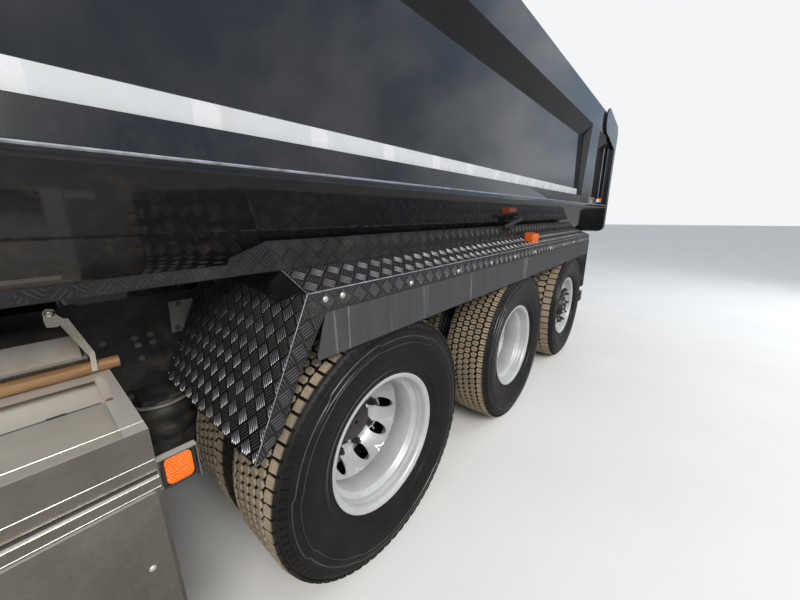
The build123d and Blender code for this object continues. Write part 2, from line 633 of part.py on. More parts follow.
# Wheel fenders of folded tread plate
slope_run = (SLOPE_FOOT_X - FENDER_FRONT_X) / (FENDER_Z - SLOPE_FOOT_Z)
inner_slope_x = FENDER_FRONT_X - PLATE_T + (FENDER_Z - 4 - INNER_FENDER_Z) * slope_run
with BuildPart() as fenders:
    for side in (1, -1):
        with BuildSketch(Plane.YZ.offset(FENDER_REAR_X)):
            with BuildLine():
                Polyline(
                    (side * (FENDER_Y - PLATE_T), LIP_Z),
                    (side * FENDER_Y, LIP_Z),
                    (side * FENDER_Y, FENDER_Z),
                    (side * UPSTAND_Y, UPSTAND_FOOT_Z),
                    (side * UPSTAND_Y, UPSTAND_TOP_Z),
                    (side * (UPSTAND_Y - PLATE_T), UPSTAND_TOP_Z),
                    (side * (UPSTAND_Y - PLATE_T), INNER_FENDER_Z),
                    (side * INNER_FENDER_Y, INNER_FENDER_Z),
                    (side * INNER_FENDER_Y, INNER_FENDER_Z - PLATE_T),
                    (side * UPSTAND_Y, INNER_FENDER_Z - PLATE_T),
                    (side * UPSTAND_Y, UPSTAND_FOOT_Z - PLATE_T),
                    (side * (FENDER_Y - PLATE_T), FENDER_Z - 4),
                    close=True,
                )
            make_face()
        extrude(amount=FENDER_FRONT_X - FENDER_REAR_X)
        with BuildSketch(Plane.XZ.offset(-side * (UPSTAND_Y - 2 * PLATE_T))):
            with BuildLine():
                Polyline(
                    (FENDER_REAR_X, UPSTAND_FOOT_Z + 3), (FENDER_REAR_X, UPSTAND_TOP_Z + 1),
                    (UPSTAND_REAR_X, UPSTAND_TOP_Z + 1), (FENDER_REAR_X + 60, UPSTAND_FOOT_Z + 3),
                    close=True,
                )
            make_face()
        extrude(amount=-side * 4 * PLATE_T, mode=Mode.SUBTRACT)
        with BuildSketch(Plane.XZ.offset(-side * UPSTAND_Y)):
            with BuildLine():
                Polyline(
                    (FENDER_FRONT_X, UPSTAND_FOOT_Z), (FENDER_FRONT_X, UPSTAND_TOP_Z),
                    (UPSTAND_FRONT_X, UPSTAND_TOP_Z), (UPSTAND_FRONT_X + 105, UPSTAND_TOP_Z - 38),
                    (UPSTAND_FRONT_X + 110, UPSTAND_FOOT_Z + STRIP_H),
                    (STRIP_FRONT_X, UPSTAND_FOOT_Z + STRIP_H), (STRIP_FRONT_X, UPSTAND_FOOT_Z),
                    close=True,
                )
            make_face()
        extrude(amount=side * PLATE_T)
        with BuildSketch(Plane.XZ.offset(-side * SLOPE_IN_Y)):
            with BuildLine():
                Polyline(
                    (FENDER_FRONT_X - PLATE_T, INNER_FENDER_Z - PLATE_T),
                    (FENDER_FRONT_X - PLATE_T, INNER_FENDER_Z), (inner_slope_x, INNER_FENDER_Z),
                    (FENDER_FRONT_X - PLATE_T, FENDER_Z - 4), (FENDER_FRONT_X, FENDER_Z),
                    (SLOPE_FOOT_X, SLOPE_FOOT_Z), (SLOPE_FOOT_X - PLATE_T, SLOPE_FOOT_Z),
                    (inner_slope_x + 2, INNER_FENDER_Z - PLATE_T),
                    close=True,
                )
            make_face()
        extrude(amount=-side * (UPSTAND_Y - SLOPE_IN_Y))
        with BuildSketch(Plane.XZ.offset(-side * (UPSTAND_Y - 1))):
            with BuildLine():
                Polyline(
                    (FENDER_FRONT_X - PLATE_T, FENDER_Z - 4), (FENDER_FRONT_X, FENDER_Z - 1),
                    (SLOPE_FOOT_X, SLOPE_FOOT_Z), (SLOPE_FOOT_X - PLATE_T, SLOPE_FOOT_Z),
                    close=True,
                )
            make_face()
        extrude(amount=-side * (FENDER_Y - UPSTAND_Y + 1))
        with BuildSketch(Plane.YZ.offset(FENDER_FRONT_X)):
            with BuildLine():
                Polyline(
                    (side * (UPSTAND_Y - 1), FENDER_Z - 6), (side * FENDER_Y, FENDER_Z - 6),
                    (side * FENDER_Y, FENDER_Z), (side * (UPSTAND_Y - 1), UPSTAND_FOOT_Z),
                    close=True,
                )
            make_face()
        extrude(amount=-PLATE_T)
        with BuildSketch(Plane.XZ.offset(-side * FENDER_Y)):
            with BuildLine():
                Polyline(
                    (FENDER_FRONT_X, FENDER_Z), (SLOPE_FOOT_X, SLOPE_FOOT_Z),
                    (SLOPE_FOOT_X - 20, SLOPE_FOOT_Z), (SLOPE_FOOT_X - 86, SLOPE_FOOT_Z + 52),
                    (FENDER_FRONT_X + 55, LIP_Z - 180), (FENDER_FRONT_X - 57, LIP_Z),
                    close=True,
                )
            make_face()
        extrude(amount=side * PLATE_T)
        stay_y = (RAIL_Y + INNER_FENDER_Y + STAY / 2) / 2
        for x in (-300.0, (DRIVE_1_X + DRIVE_2_X) / 2, (DRIVE_2_X + TAG_X) / 2, -3500.0):
            with Locations((x, side * stay_y, RAIL_TOP_Z - 30)):
                Box(STAY, INNER_FENDER_Y + STAY / 2 - RAIL_Y, STAY)
            post_h = INNER_FENDER_Z - PLATE_T - RAIL_TOP_Z + 55
            with Locations(
                (x, side * INNER_FENDER_Y, INNER_FENDER_Z - PLATE_T - post_h / 2)
            ):
                Box(STAY, STAY, post_h)
        for x in (900.0, STRIP_FRONT_X - 60):
            with Locations((x, side * (RAIL_Y + UPSTAND_Y) / 2, SUB_TOP_Z - 25)):
                Box(40, UPSTAND_Y - RAIL_Y, 40)
            with Locations((x, side * (UPSTAND_Y - 25), (SUB_TOP_Z - 45 + UPSTAND_FOOT_Z) / 2 + 8)):
                Box(40, 40, UPSTAND_FOOT_Z - SUB_TOP_Z + 61)
save(fenders.part, "fenders")

with BuildPart() as fender_skirts:
    for side in (1, -1):
        with BuildSketch(Plane.XZ.offset(-side * FENDER_Y)):
            with BuildLine():
                Polyline(
                    (FENDER_REAR_X, LIP_Z), (FENDER_FRONT_X - 57, LIP_Z),
                    (FENDER_FRONT_X - 18, LIP_Z - 126), (FENDER_FRONT_X - 21, SKIRT_Z),
                    (FENDER_REAR_X, SKIRT_Z),
                    close=True,
                )
            make_face()
        extrude(amount=side * PLATE_T)
save(fender_skirts.part, "fender_skirts")

# Mudflaps: short outside, long behind the tyre
FLAP_IN_Y = 615.0
FLAP_STEP_Y = 1180.0
FLAP_OUT_Y = 1255.0
FLAP_Z = 310.0
FLAP_STEP_Z = 660.0
flap_top = INNER_FENDER_Z - PLATE_T - SEAT
with BuildPart() as mudflaps:
    for side in (1, -1):
        with BuildSketch(Plane.YZ.offset(FLAP_X)):
            with BuildLine():
                Polyline(
                    (side * FLAP_IN_Y, flap_top), (side * FLAP_OUT_Y, flap_top),
                    (side * FLAP_OUT_Y, FLAP_STEP_Z), (side * FLAP_STEP_Y, FLAP_STEP_Z - 60),
                    (side * FLAP_STEP_Y, FLAP_Z), (side * FLAP_IN_Y, FLAP_Z),
                    close=True,
                )
            make_face()
        extrude(amount=FLAP_T)
        with Locations(
            ((FENDER_REAR_X + FLAP_X) / 2, side * (FLAP_IN_Y + FLAP_OUT_Y) / 2, flap_top - PLATE_T / 2)
        ):
            Box(FENDER_REAR_X - FLAP_X + 60, FLAP_OUT_Y - FLAP_IN_Y, PLATE_T)
save(mudflaps.part, "mudflaps")

UNDERRUN_Z = 480.0
with BuildPart() as rear_underrun:
    with Locations((RAIL_REAR_X - 50, 0, UNDERRUN_Z)):
        Box(100, 2400, 120)
    for side in (1, -1):
        with Locations((RAIL_REAR_X - 30, side * (RAIL_Y - 40), (UNDERRUN_Z + RAIL_Z) / 2 + 35)):
            Box(60, 80, RAIL_Z - UNDERRUN_Z - 50)
        with Locations((RAIL_REAR_X - 10, side * (RAIL_Y - 40), RAIL_Z + 65)):
            Box(20, 80, 140)
save(rear_underrun.part, "rear_underrun")

with BuildPart() as rear_lamps:
    for side in (1, -1):
        with BuildSketch(Plane.YZ.offset(RAIL_REAR_X - 95)):
            with Locations((side * 950, UNDERRUN_Z + 120)):
                RectangleRounded(400, 120, 20)
        extrude(amount=60)
save(rear_lamps.part, "rear_lamps")

# Front bumper, headlamps, mudguards with entry steps
with BuildPart() as front_bumper:
    with BuildSketch(Plane.XY.offset(BUMPER_Z)):
        with BuildLine():
            Polyline(
                (BUMPER_REAR_X, -1250), (4400, -1250), (BUMPER_FRONT_X, -1000),
                (BUMPER_FRONT_X, 1000), (4400, 1250), (BUMPER_REAR_X, 1250),
                (BUMPER_REAR_X, 1220), (4385, 1220), (BUMPER_FRONT_X - BUMPER_T, 985),
                (BUMPER_FRONT_X - BUMPER_T, -985), (4385, -1220), (BUMPER_REAR_X, -1220),
                close=True,
            )
        make_face()
    extrude(amount=BUMPER_TOP_Z - BUMPER_Z)
    for side in (1, -1):
        with Locations(((RAIL_FRONT_X + BUMPER_FRONT_X - BUMPER_T) / 2, side * (RAIL_Y - 40), RAIL_Z + 90)):
            Box(BUMPER_FRONT_X - BUMPER_T - RAIL_FRONT_X, 80, 100)
        with Locations((BUMPER_FRONT_X, side * LAMP_FRONT_Y, LAMP_FRONT_Z)):
            Box(80, 300, 180, mode=Mode.SUBTRACT)
    with Locations((BUMPER_FRONT_X, 0, BUMPER_TOP_Z)):
        Box(160, 160, 200, mode=Mode.SUBTRACT)
    with Locations((BUMPER_FRONT_X, 0, LAMP_FRONT_Z - 130)):
        Box(40, 1100, 180, mode=Mode.SUBTRACT)
save(front_bumper.part, "front_bumper")

with BuildPart() as headlamps:
    for side in (1, -1):
        with Locations((BUMPER_FRONT_X - 25, side * LAMP_FRONT_Y, LAMP_FRONT_Z)):
            Box(30, 300, 180)
save(headlamps.part, "headlamps")

STEP_REAR_X = 3830.0
with BuildPart() as front_mudguards:
    for side in (1, -1):
        with BuildSketch(Plane.XZ.offset(-side * GUARD_Y)):
            with Locations((FRONT_AXLE_X, TYRE_R)):
                Circle(GUARD_R + PLATE_T)
                Circle(GUARD_R, mode=Mode.SUBTRACT)
            with Locations((FRONT_AXLE_X, TYRE_R - 540)):
                Rectangle(1500, 1400, mode=Mode.SUBTRACT)
        extrude(amount=-side * (1250 - GUARD_Y))
        with BuildSketch(Plane.YZ.offset(STEP_REAR_X)):
            with Locations((side * 1030, 780)):
                RectangleRounded(440, 780, 30)
        extrude(amount=420)
        for z in (640.0, 960.0):
            with Locations((STEP_REAR_X + 210, side * 1150, z)):
                Box(340, 240, 200, mode=Mode.SUBTRACT)
        with Locations((STEP_REAR_X + 210, side * 600, RAIL_Z + 90)):
            Box(80, 430, 80)
        with Locations((FRONT_AXLE_X, side * (RAIL_Y + GUARD_Y) / 2, TYRE_R + GUARD_R - 18)):
            Box(80, GUARD_Y - RAIL_Y, 50)
        with Locations((FRONT_AXLE_X, side * (RAIL_Y + 12), RAIL_TOP_Z + 50)):
            Box(80, 24, 120)
save(front_mudguards.part, "front_mudguards")

FENDER_LAMP_X = -2100.0
with BuildPart() as marker_lamps:
    for side in (1, -1):
        with BuildSketch(Plane.YZ.offset(FENDER_LAMP_X)):
            with BuildLine():
                Polyline(
                    (side * 1185, FENDER_Z + 39.5), (side * 1240, FENDER_Z + 15.7),
                    (side * 1240, FENDER_Z + 77), (side * 1185, FENDER_Z + 87),
                    close=True,
                )
            make_face()
        extrude(amount=130)
    with BuildSketch(Plane.XZ.offset(-plate_y - SEAT)):
        with Locations(((LAMP_REAR_X + TOOLBOX_REAR_X) / 2, LAMP_Z)):
            RectangleRounded(LAMP_W, LAMP_H, 12)
    extrude(amount=-12)
    with Locations((TANK_REAR_X - 20, -1180, TANK_Z + 170)):
        Box(40, 40, 60)
save(marker_lamps.part, "marker_lamps")

# Cab
with BuildPart() as cab_shell:
    with BuildSketch(Plane.XZ):
        with BuildLine():
            Polyline(
                (CAB_REAR_X, CAB_FLOOR_Z), (4250, CAB_FLOOR_Z), (4270, CAB_LIP_Z),
                (CAB_FRONT_X, CAB_LIP_Z), (CAB_FRONT_X, SCREEN_FOOT_Z),
                (SCREEN_HEAD_X, SCREEN_HEAD_Z), (4200, CAB_ROOF_Z), (2800, CAB_ROOF_Z),
                (CAB_REAR_X, CAB_ROOF_Z - 150),
                close=True,
            )
        make_face()
    extrude(amount=CAB_Y, both=True)
    with BuildSketch(Plane.XY.offset(CAB_LIP_Z)):
        with Locations(((CAB_REAR_X + CAB_FRONT_X) / 2, 0)):
            RectangleRounded(CAB_FRONT_X - CAB_REAR_X, 2 * CAB_Y, 150)
    extrude(amount=CAB_ROOF_Z - CAB_LIP_Z, mode=Mode.INTERSECT)
    with BuildSketch(Plane.XZ):
        with BuildLine():
            Polyline(
                (CAB_REAR_X + CAB_WALL, CAB_FLOOR_Z + CAB_WALL),
                (CAB_FRONT_X - CAB_WALL, CAB_FLOOR_Z + CAB_WALL),
                (CAB_FRONT_X - CAB_WALL, SCREEN_FOOT_Z - 5),
                (SCREEN_HEAD_X - CAB_WALL, SCREEN_HEAD_Z - 15),
                (4185, CAB_ROOF_Z - CAB_WALL), (2815, CAB_ROOF_Z - CAB_WALL),
                (CAB_REAR_X + CAB_WALL, CAB_ROOF_Z - 165),
                close=True,
            )
        make_face()
    extrude(amount=CAB_Y - CAB_WALL, both=True, mode=Mode.SUBTRACT)
    with BuildSketch(Plane.XZ):
        with BuildLine():
            Polyline(
                (4200, CAB_LIP_Z - 20), (CAB_FRONT_X - 20, CAB_LIP_Z - 20),
                (CAB_FRONT_X - 20, CAB_FLOOR_Z), (4200, CAB_FLOOR_Z),
                close=True,
            )
        make_face()
    extrude(amount=CAB_Y - 20, both=True, mode=Mode.SUBTRACT)
    with BuildSketch(Plane.YZ.offset(SCREEN_HEAD_X - 90)):
        with Locations((0, SCREEN_Z)):
            RectangleRounded(SCREEN_W, SCREEN_H, 80)
    extrude(amount=300, mode=Mode.SUBTRACT)
    with BuildSketch(Plane.XZ):
        with Locations(((DOOR_REAR_X + DOOR_FRONT_X) / 2, CAB_DOOR_Z)):
            RectangleRounded(DOOR_FRONT_X - DOOR_REAR_X, CAB_DOOR_H, 60)
    extrude(amount=CAB_Y + 10, both=True, mode=Mode.SUBTRACT)
    with BuildSketch(Plane.XZ):
        with BuildLine():
            Polyline(
                (SCREEN_HEAD_X - 20, SCREEN_HEAD_Z + 20), (CAB_FRONT_X, SCREEN_HEAD_Z - 40),
                (CAB_FRONT_X, SCREEN_HEAD_Z - 25), (SCREEN_HEAD_X - 40, SCREEN_HEAD_Z + 45),
                close=True,
            )
        make_face()
    extrude(amount=1000, both=True)
    for side in (1, -1):
        with BuildSketch(Plane.XZ.offset(-side * 320)):
            with Locations(((TILT_X - 30 + CAB_FRONT_X - 20) / 2, (TILT_Z + CAB_FLOOR_Z) / 2)):
                Rectangle(CAB_FRONT_X + 10 - TILT_X, CAB_FLOOR_Z - TILT_Z)
            with Locations((TILT_X, TILT_Z)):
                Circle(30)
                Circle(TILT_PIN_R + FIT, mode=Mode.SUBTRACT)
        extrude(amount=-side * 35)
        for z in DOOR_HINGE_Z:
            with BuildSketch(Plane.XY.offset(z - HINGE_LUG_H / 2)):
                with Locations(((DOOR_PIN_X - 7 + DOOR_FRONT_X) / 2, side * (DOOR_PIN_Y - 3.5))):
                    Rectangle(DOOR_FRONT_X - DOOR_PIN_X + 7, 17)
                with Locations((DOOR_PIN_X, side * DOOR_PIN_Y)):
                    Circle(DOOR_PIN_R + FIT, mode=Mode.SUBTRACT)
            extrude(amount=HINGE_LUG_H)
save(cab_shell.part, "cab_shell")

screen_slope = (CAB_FRONT_X - SCREEN_HEAD_X) / (SCREEN_HEAD_Z - SCREEN_FOOT_Z)
screen_low = SCREEN_Z - SCREEN_H / 2 + 1
screen_high = SCREEN_Z + SCREEN_H / 2 - 1
screen_low_x = CAB_FRONT_X - 12 - (screen_low - SCREEN_FOOT_Z) * screen_slope
screen_high_x = CAB_FRONT_X - 12 - (screen_high - SCREEN_FOOT_Z) * screen_slope
with BuildPart() as windscreen:
    with BuildSketch(Plane.XZ):
        with BuildLine():
            Polyline(
                (screen_low_x - 7, screen_low), (screen_low_x, screen_low),
                (screen_high_x, screen_high), (screen_high_x - 7, screen_high), close=True,
            )
        make_face()
    extrude(amount=SCREEN_W / 2 - 1, both=True)
    with BuildSketch(Plane.YZ.offset(SCREEN_HEAD_X - 90)):
        with Locations((0, SCREEN_Z)):
            RectangleRounded(SCREEN_W - 2, SCREEN_H - 2, 80)
    extrude(amount=300, mode=Mode.INTERSECT)
save(windscreen.part, "windscreen")

with BuildPart() as grille:
    for index in range(6):
        z = CAB_LIP_Z + 75 + 90 * index
        with BuildSketch(Plane.XZ):
            with BuildLine():
                Polyline(
                    (CAB_FRONT_X, z - 20), (CAB_FRONT_X + 20, z - 28),
                    (CAB_FRONT_X + 20, z + 22), (CAB_FRONT_X, z + 30),
                    close=True,
                )
            make_face()
        extrude(amount=760, both=True)
    for y in (-770.0, 770.0):
        with Locations((CAB_FRONT_X + 10, y, CAB_LIP_Z + 300)):
            Box(20, 30, 520)
save(grille.part, "grille")

MIRROR_Z = CAB_FLOOR_Z + 750.0
with BuildPart() as mirrors:
    for side in (1, -1):
        with BuildSketch(Plane.XY.offset(MIRROR_Z)):
            with Locations((4360, side * 1400)):
                RectangleRounded(110, 200, 40)
        extrude(amount=560)
        for z in (MIRROR_Z + 100, MIRROR_Z + 470):
            with Locations((4320, side * (CAB_Y + 27.5), z)):
                Box(40, 55, 30)
save(mirrors.part, "mirrors")

SEAT_Z = CAB_FLOOR_Z + CAB_WALL
WHEEL_AT = (4000.0, 620.0, CAB_FLOOR_Z + 600.0)
with BuildPart() as cab_interior:
    with BuildSketch(Plane.XZ):
        with BuildLine():
            Polyline(
                (4190, SEAT_Z + 160), (CAB_FRONT_X - CAB_WALL, SEAT_Z),
                (CAB_FRONT_X - CAB_WALL, SEAT_Z + 500), (4300, SEAT_Z + 520),
                (4150, SEAT_Z + 460),
                close=True,
            )
        make_face()
    extrude(amount=1150, both=True)
    for y in (-620.0, 620.0):
        with BuildSketch(Plane.XZ.offset(-y)):
            with BuildLine():
                Polyline(
                    (3050, SEAT_Z), (3450, SEAT_Z), (3520, SEAT_Z + 360), (3480, SEAT_Z + 450),
                    (3110, SEAT_Z + 430), (2950, SEAT_Z + 1240), (2860, SEAT_Z + 1240),
                    (2950, SEAT_Z + 360),
                    close=True,
                )
            make_face()
        extrude(amount=240, both=True)
    with Locations(Location(WHEEL_AT, (0, 50, 0))):
        Cylinder(226, 28)
        Cylinder(196, 28, mode=Mode.SUBTRACT)
        Box(410, 40, 16)
    with Locations(Location((WHEEL_AT[0] + 90, WHEEL_AT[1], WHEEL_AT[2] - 75), (0, -50, 0))):
        Cylinder(25, 240)
save(cab_interior.part, "cab_interior")

for side, name in ((1, "left"), (-1, "right")):
    door_x = (DOOR_REAR_X + DOOR_FRONT_X) / 2
    door_l = DOOR_FRONT_X - DOOR_REAR_X - 2 * CAB_DOOR_GAP
    with BuildPart() as door:
        with BuildSketch(Plane.XZ.offset(-side * (CAB_Y - CAB_WALL))):
            with Locations((door_x, CAB_DOOR_Z)):
                RectangleRounded(door_l, CAB_DOOR_H - 2 * CAB_DOOR_GAP, 54)
            with Locations((door_x, PANE_Z)):
                RectangleRounded(door_l - 140, PANE_H, 60, mode=Mode.SUBTRACT)
        extrude(amount=-side * CAB_WALL)
        for z in DOOR_HINGE_Z:
            with Locations((DOOR_PIN_X, side * (CAB_Y - CAB_WALL / 2), z)):
                Box(32, CAB_WALL + 2, HINGE_LUG_H + 10, mode=Mode.SUBTRACT)
            with Locations((DOOR_PIN_X, side * DOOR_PIN_Y, z)):
                Cylinder(DOOR_PIN_R, HINGE_LUG_H + 60)
    save(door.part, "door_" + name)
    with BuildPart() as glass:
        with BuildSketch(Plane.XZ.offset(-side * (CAB_Y - 22))):
            with Locations((door_x, PANE_Z)):
                RectangleRounded(door_l - 140, PANE_H, 60)
        extrude(amount=-side * 5)
    save(glass.part, "door_glass_" + name)


# Half-pipe dump body. Its front end leans back to the floor, clear of the lift cylinder.
low_z = SILL_Z - 50
high_z = HEADBOARD_Z + 50


def face_x(z):
    return HEAD_FOOT_X + (z - FLOOR_Z) * (BODY_FRONT_X - HEAD_FOOT_X) / (HEADBOARD_Z - FLOOR_Z)


def ahead_of_face(back):
    Polyline(
        (face_x(low_z) - back, low_z), (face_x(high_z) - back, high_z),
        (BODY_FRONT_X + 100, high_z), (BODY_FRONT_X + 100, low_z), close=True,
    )


def half_pipe(y, floor, radius, top):
    Polyline((-y, top), (-y, FLOOR_Z + HULL_R))
    RadiusArc((-y, FLOOR_Z + HULL_R), (-HULL_Y + HULL_R, floor), -radius)
    Line((-HULL_Y + HULL_R, floor), (HULL_Y - HULL_R, floor))
    RadiusArc((HULL_Y - HULL_R, floor), (y, FLOOR_Z + HULL_R), -radius)
    Polyline((y, FLOOR_Z + HULL_R), (y, top), (-y, top))


def welded(*builders):
    return Compound([solid for builder in builders for solid in builder.part.solids()])


# Floor, curved corners and walls of the half pipe: middle, width and height of each sheet's share
# of the outline, with room to spare past its outer side
CORNER_Y = HULL_Y - HULL_R
SPARE = 50.0
sheets = []
for sheet_y, sheet_z, sheet_w, sheet_h in (
    (0.0, FLOOR_Z, 2 * CORNER_Y, 2 * SPARE),
    (CORNER_Y + (HULL_R + SPARE) / 2, FLOOR_Z + (HULL_R - SPARE) / 2, HULL_R + SPARE, HULL_R + SPARE),
    (-CORNER_Y - (HULL_R + SPARE) / 2, FLOOR_Z + (HULL_R - SPARE) / 2, HULL_R + SPARE, HULL_R + SPARE),
    (HULL_Y, (FLOOR_Z + HULL_R + BODY_TOP_Z) / 2, 2 * SPARE, BODY_TOP_Z - FLOOR_Z - HULL_R),
    (-HULL_Y, (FLOOR_Z + HULL_R + BODY_TOP_Z) / 2, 2 * SPARE, BODY_TOP_Z - FLOOR_Z - HULL_R),
):
    with BuildPart() as sheet:
        with BuildSketch(Plane.YZ.offset(BODY_REAR_X)):
            with BuildLine():
                half_pipe(HULL_Y, FLOOR_Z, HULL_R, BODY_TOP_Z + 10)
            make_face()
            with BuildLine():
                half_pipe(HULL_Y - HULL_T, FLOOR_Z + HULL_T, HULL_R - HULL_T, BODY_TOP_Z + 20)
            make_face(mode=Mode.SUBTRACT)
            with Locations((sheet_y, sheet_z)):
                Rectangle(sheet_w, sheet_h, mode=Mode.INTERSECT)
        extrude(amount=BODY_FRONT_X - BODY_REAR_X)
        with BuildSketch(Plane.XZ):
            with BuildLine():
                ahead_of_face(HEADBOARD_T)
            make_face()
        extrude(amount=HULL_Y + 50, both=True, mode=Mode.SUBTRACT)
    sheets.append(sheet)
with BuildPart() as headboard:
    with BuildSketch(Plane.YZ.offset(HEAD_FOOT_X - 200)):
        with BuildLine():
            half_pipe(HULL_Y, FLOOR_Z, HULL_R, HEADBOARD_Z)
        make_face()
    extrude(amount=BODY_FRONT_X - HEAD_FOOT_X + 250)
    with BuildSketch(Plane.XZ):
        with BuildLine():
            Polyline(
                (face_x(low_z) - HEADBOARD_T, low_z), (face_x(high_z) - HEADBOARD_T, high_z),
                (face_x(high_z), high_z), (face_x(low_z), low_z), close=True,
            )
        make_face()
    extrude(amount=HULL_Y + 50, both=True, mode=Mode.INTERSECT)
save(welded(*sheets, headboard), "dump_hull")

TANGENT = HULL_R * cos(radians(45))
with BuildPart() as side_beams:
    for side in (1, -1):
        with BuildSketch(Plane.YZ.offset(BODY_REAR_X)):
            with BuildLine():
                ty = side * (HULL_Y - HULL_R + TANGENT)
                tz = FLOOR_Z + HULL_R - TANGENT
                Polyline(
                    (ty, tz), (side * LEDGE_Y, LEDGE_Z), (side * BEVEL_Y, BEVEL_Z),
                    (side * BAND_Y, BAND_Z), (side * HULL_Y, BAND_Z + 5),
                    (side * HULL_Y, FLOOR_Z + HULL_R),
                )
                RadiusArc((side * HULL_Y, FLOOR_Z + HULL_R), (ty, tz), side * HULL_R)
            make_face()
        extrude(amount=BODY_FRONT_X - BODY_REAR_X)
        with BuildSketch(Plane.XY.offset(LEDGE_Z)):
            with BuildLine():
                Polyline(
                    (-1750, side * (BEVEL_Y - 10)), (POST_X + POST_W / 2 - 2, side * (BEVEL_Y + 18)),
                    (POST_X + POST_W / 2 - 2, side * (BEVEL_Y - 10)),
                    close=True,
                )
            make_face()
        extrude(amount=BAND_Z - LEDGE_Z - 5)
    with BuildSketch(Plane.XZ):
        with BuildLine():
            ahead_of_face(0)
        make_face()
    extrude(amount=LEDGE_Y + 10, both=True, mode=Mode.SUBTRACT)
with BuildPart() as top_rails:
    for side in (1, -1):
        with BuildSketch(Plane.YZ.offset(BODY_REAR_X)):
            with BuildLine():
                Polyline(
                    (side * HULL_Y, TOP_SLOPE_Z), (side * RAIL_OUT_Y, TOP_RAIL_Z),
                    (side * RAIL_OUT_Y, BODY_TOP_Z), (side * HULL_Y, BODY_TOP_Z),
                    close=True,
                )
            make_face()
        extrude(amount=BODY_FRONT_X - BODY_REAR_X)
    with BuildSketch(Plane.XZ):
        with BuildLine():
            ahead_of_face(0)
        make_face()
    extrude(amount=LEDGE_Y + 10, both=True, mode=Mode.SUBTRACT)
with BuildPart() as side_posts:
    for side in (1, -1):
        with BuildSketch(Plane.YZ.offset(POST_X - POST_W / 2)):
            with BuildLine():
                Polyline(
                    (side * HULL_Y, FLOOR_Z + HULL_R), (side * POST_FOOT_Y, BEVEL_Z),
                    (side * RAIL_OUT_Y, TOP_RAIL_Z), (side * HULL_Y, TOP_SLOPE_Z),
                    close=True,
                )
            make_face()
        extrude(amount=POST_W)
        with BuildSketch(Plane.XY.offset(BEVEL_Z)):
            with BuildLine():
                Polyline(
                    (POST_X + POST_W / 2, side * (HULL_Y + 6)),
                    (POST_X + POST_W / 2 - POST_BEVEL, side * (RAIL_OUT_Y + 4)),
                    (POST_X + POST_W / 2, side * (RAIL_OUT_Y + 4)),
                    close=True,
                )
            make_face()
        extrude(amount=TOP_RAIL_Z - BEVEL_Z, mode=Mode.SUBTRACT)
        for x, width, depth in (
            (BODY_FRONT_X - 200, 380.0, 30.0), (BODY_REAR_X + 90, 180.0, 50.0),
            (POST_X - 680, 50.0, 34.0),
        ):
            with BuildSketch(Plane.YZ.offset(x - width / 2)):
                with BuildLine():
                    Polyline(
                        (side * HULL_Y, FLOOR_Z + HULL_R), (side * (HULL_Y + depth), BEVEL_Z),
                        (side * (HULL_Y + depth), TOP_RAIL_Z), (side * HULL_Y, TOP_SLOPE_Z),
                        close=True,
                    )
                make_face()
            extrude(amount=width)
    with BuildSketch(Plane.XZ):
        with BuildLine():
            ahead_of_face(0)
        make_face()
    extrude(amount=LEDGE_Y + 10, both=True, mode=Mode.SUBTRACT)
    add(side_beams.part, mode=Mode.SUBTRACT)
    add(top_rails.part, mode=Mode.SUBTRACT)
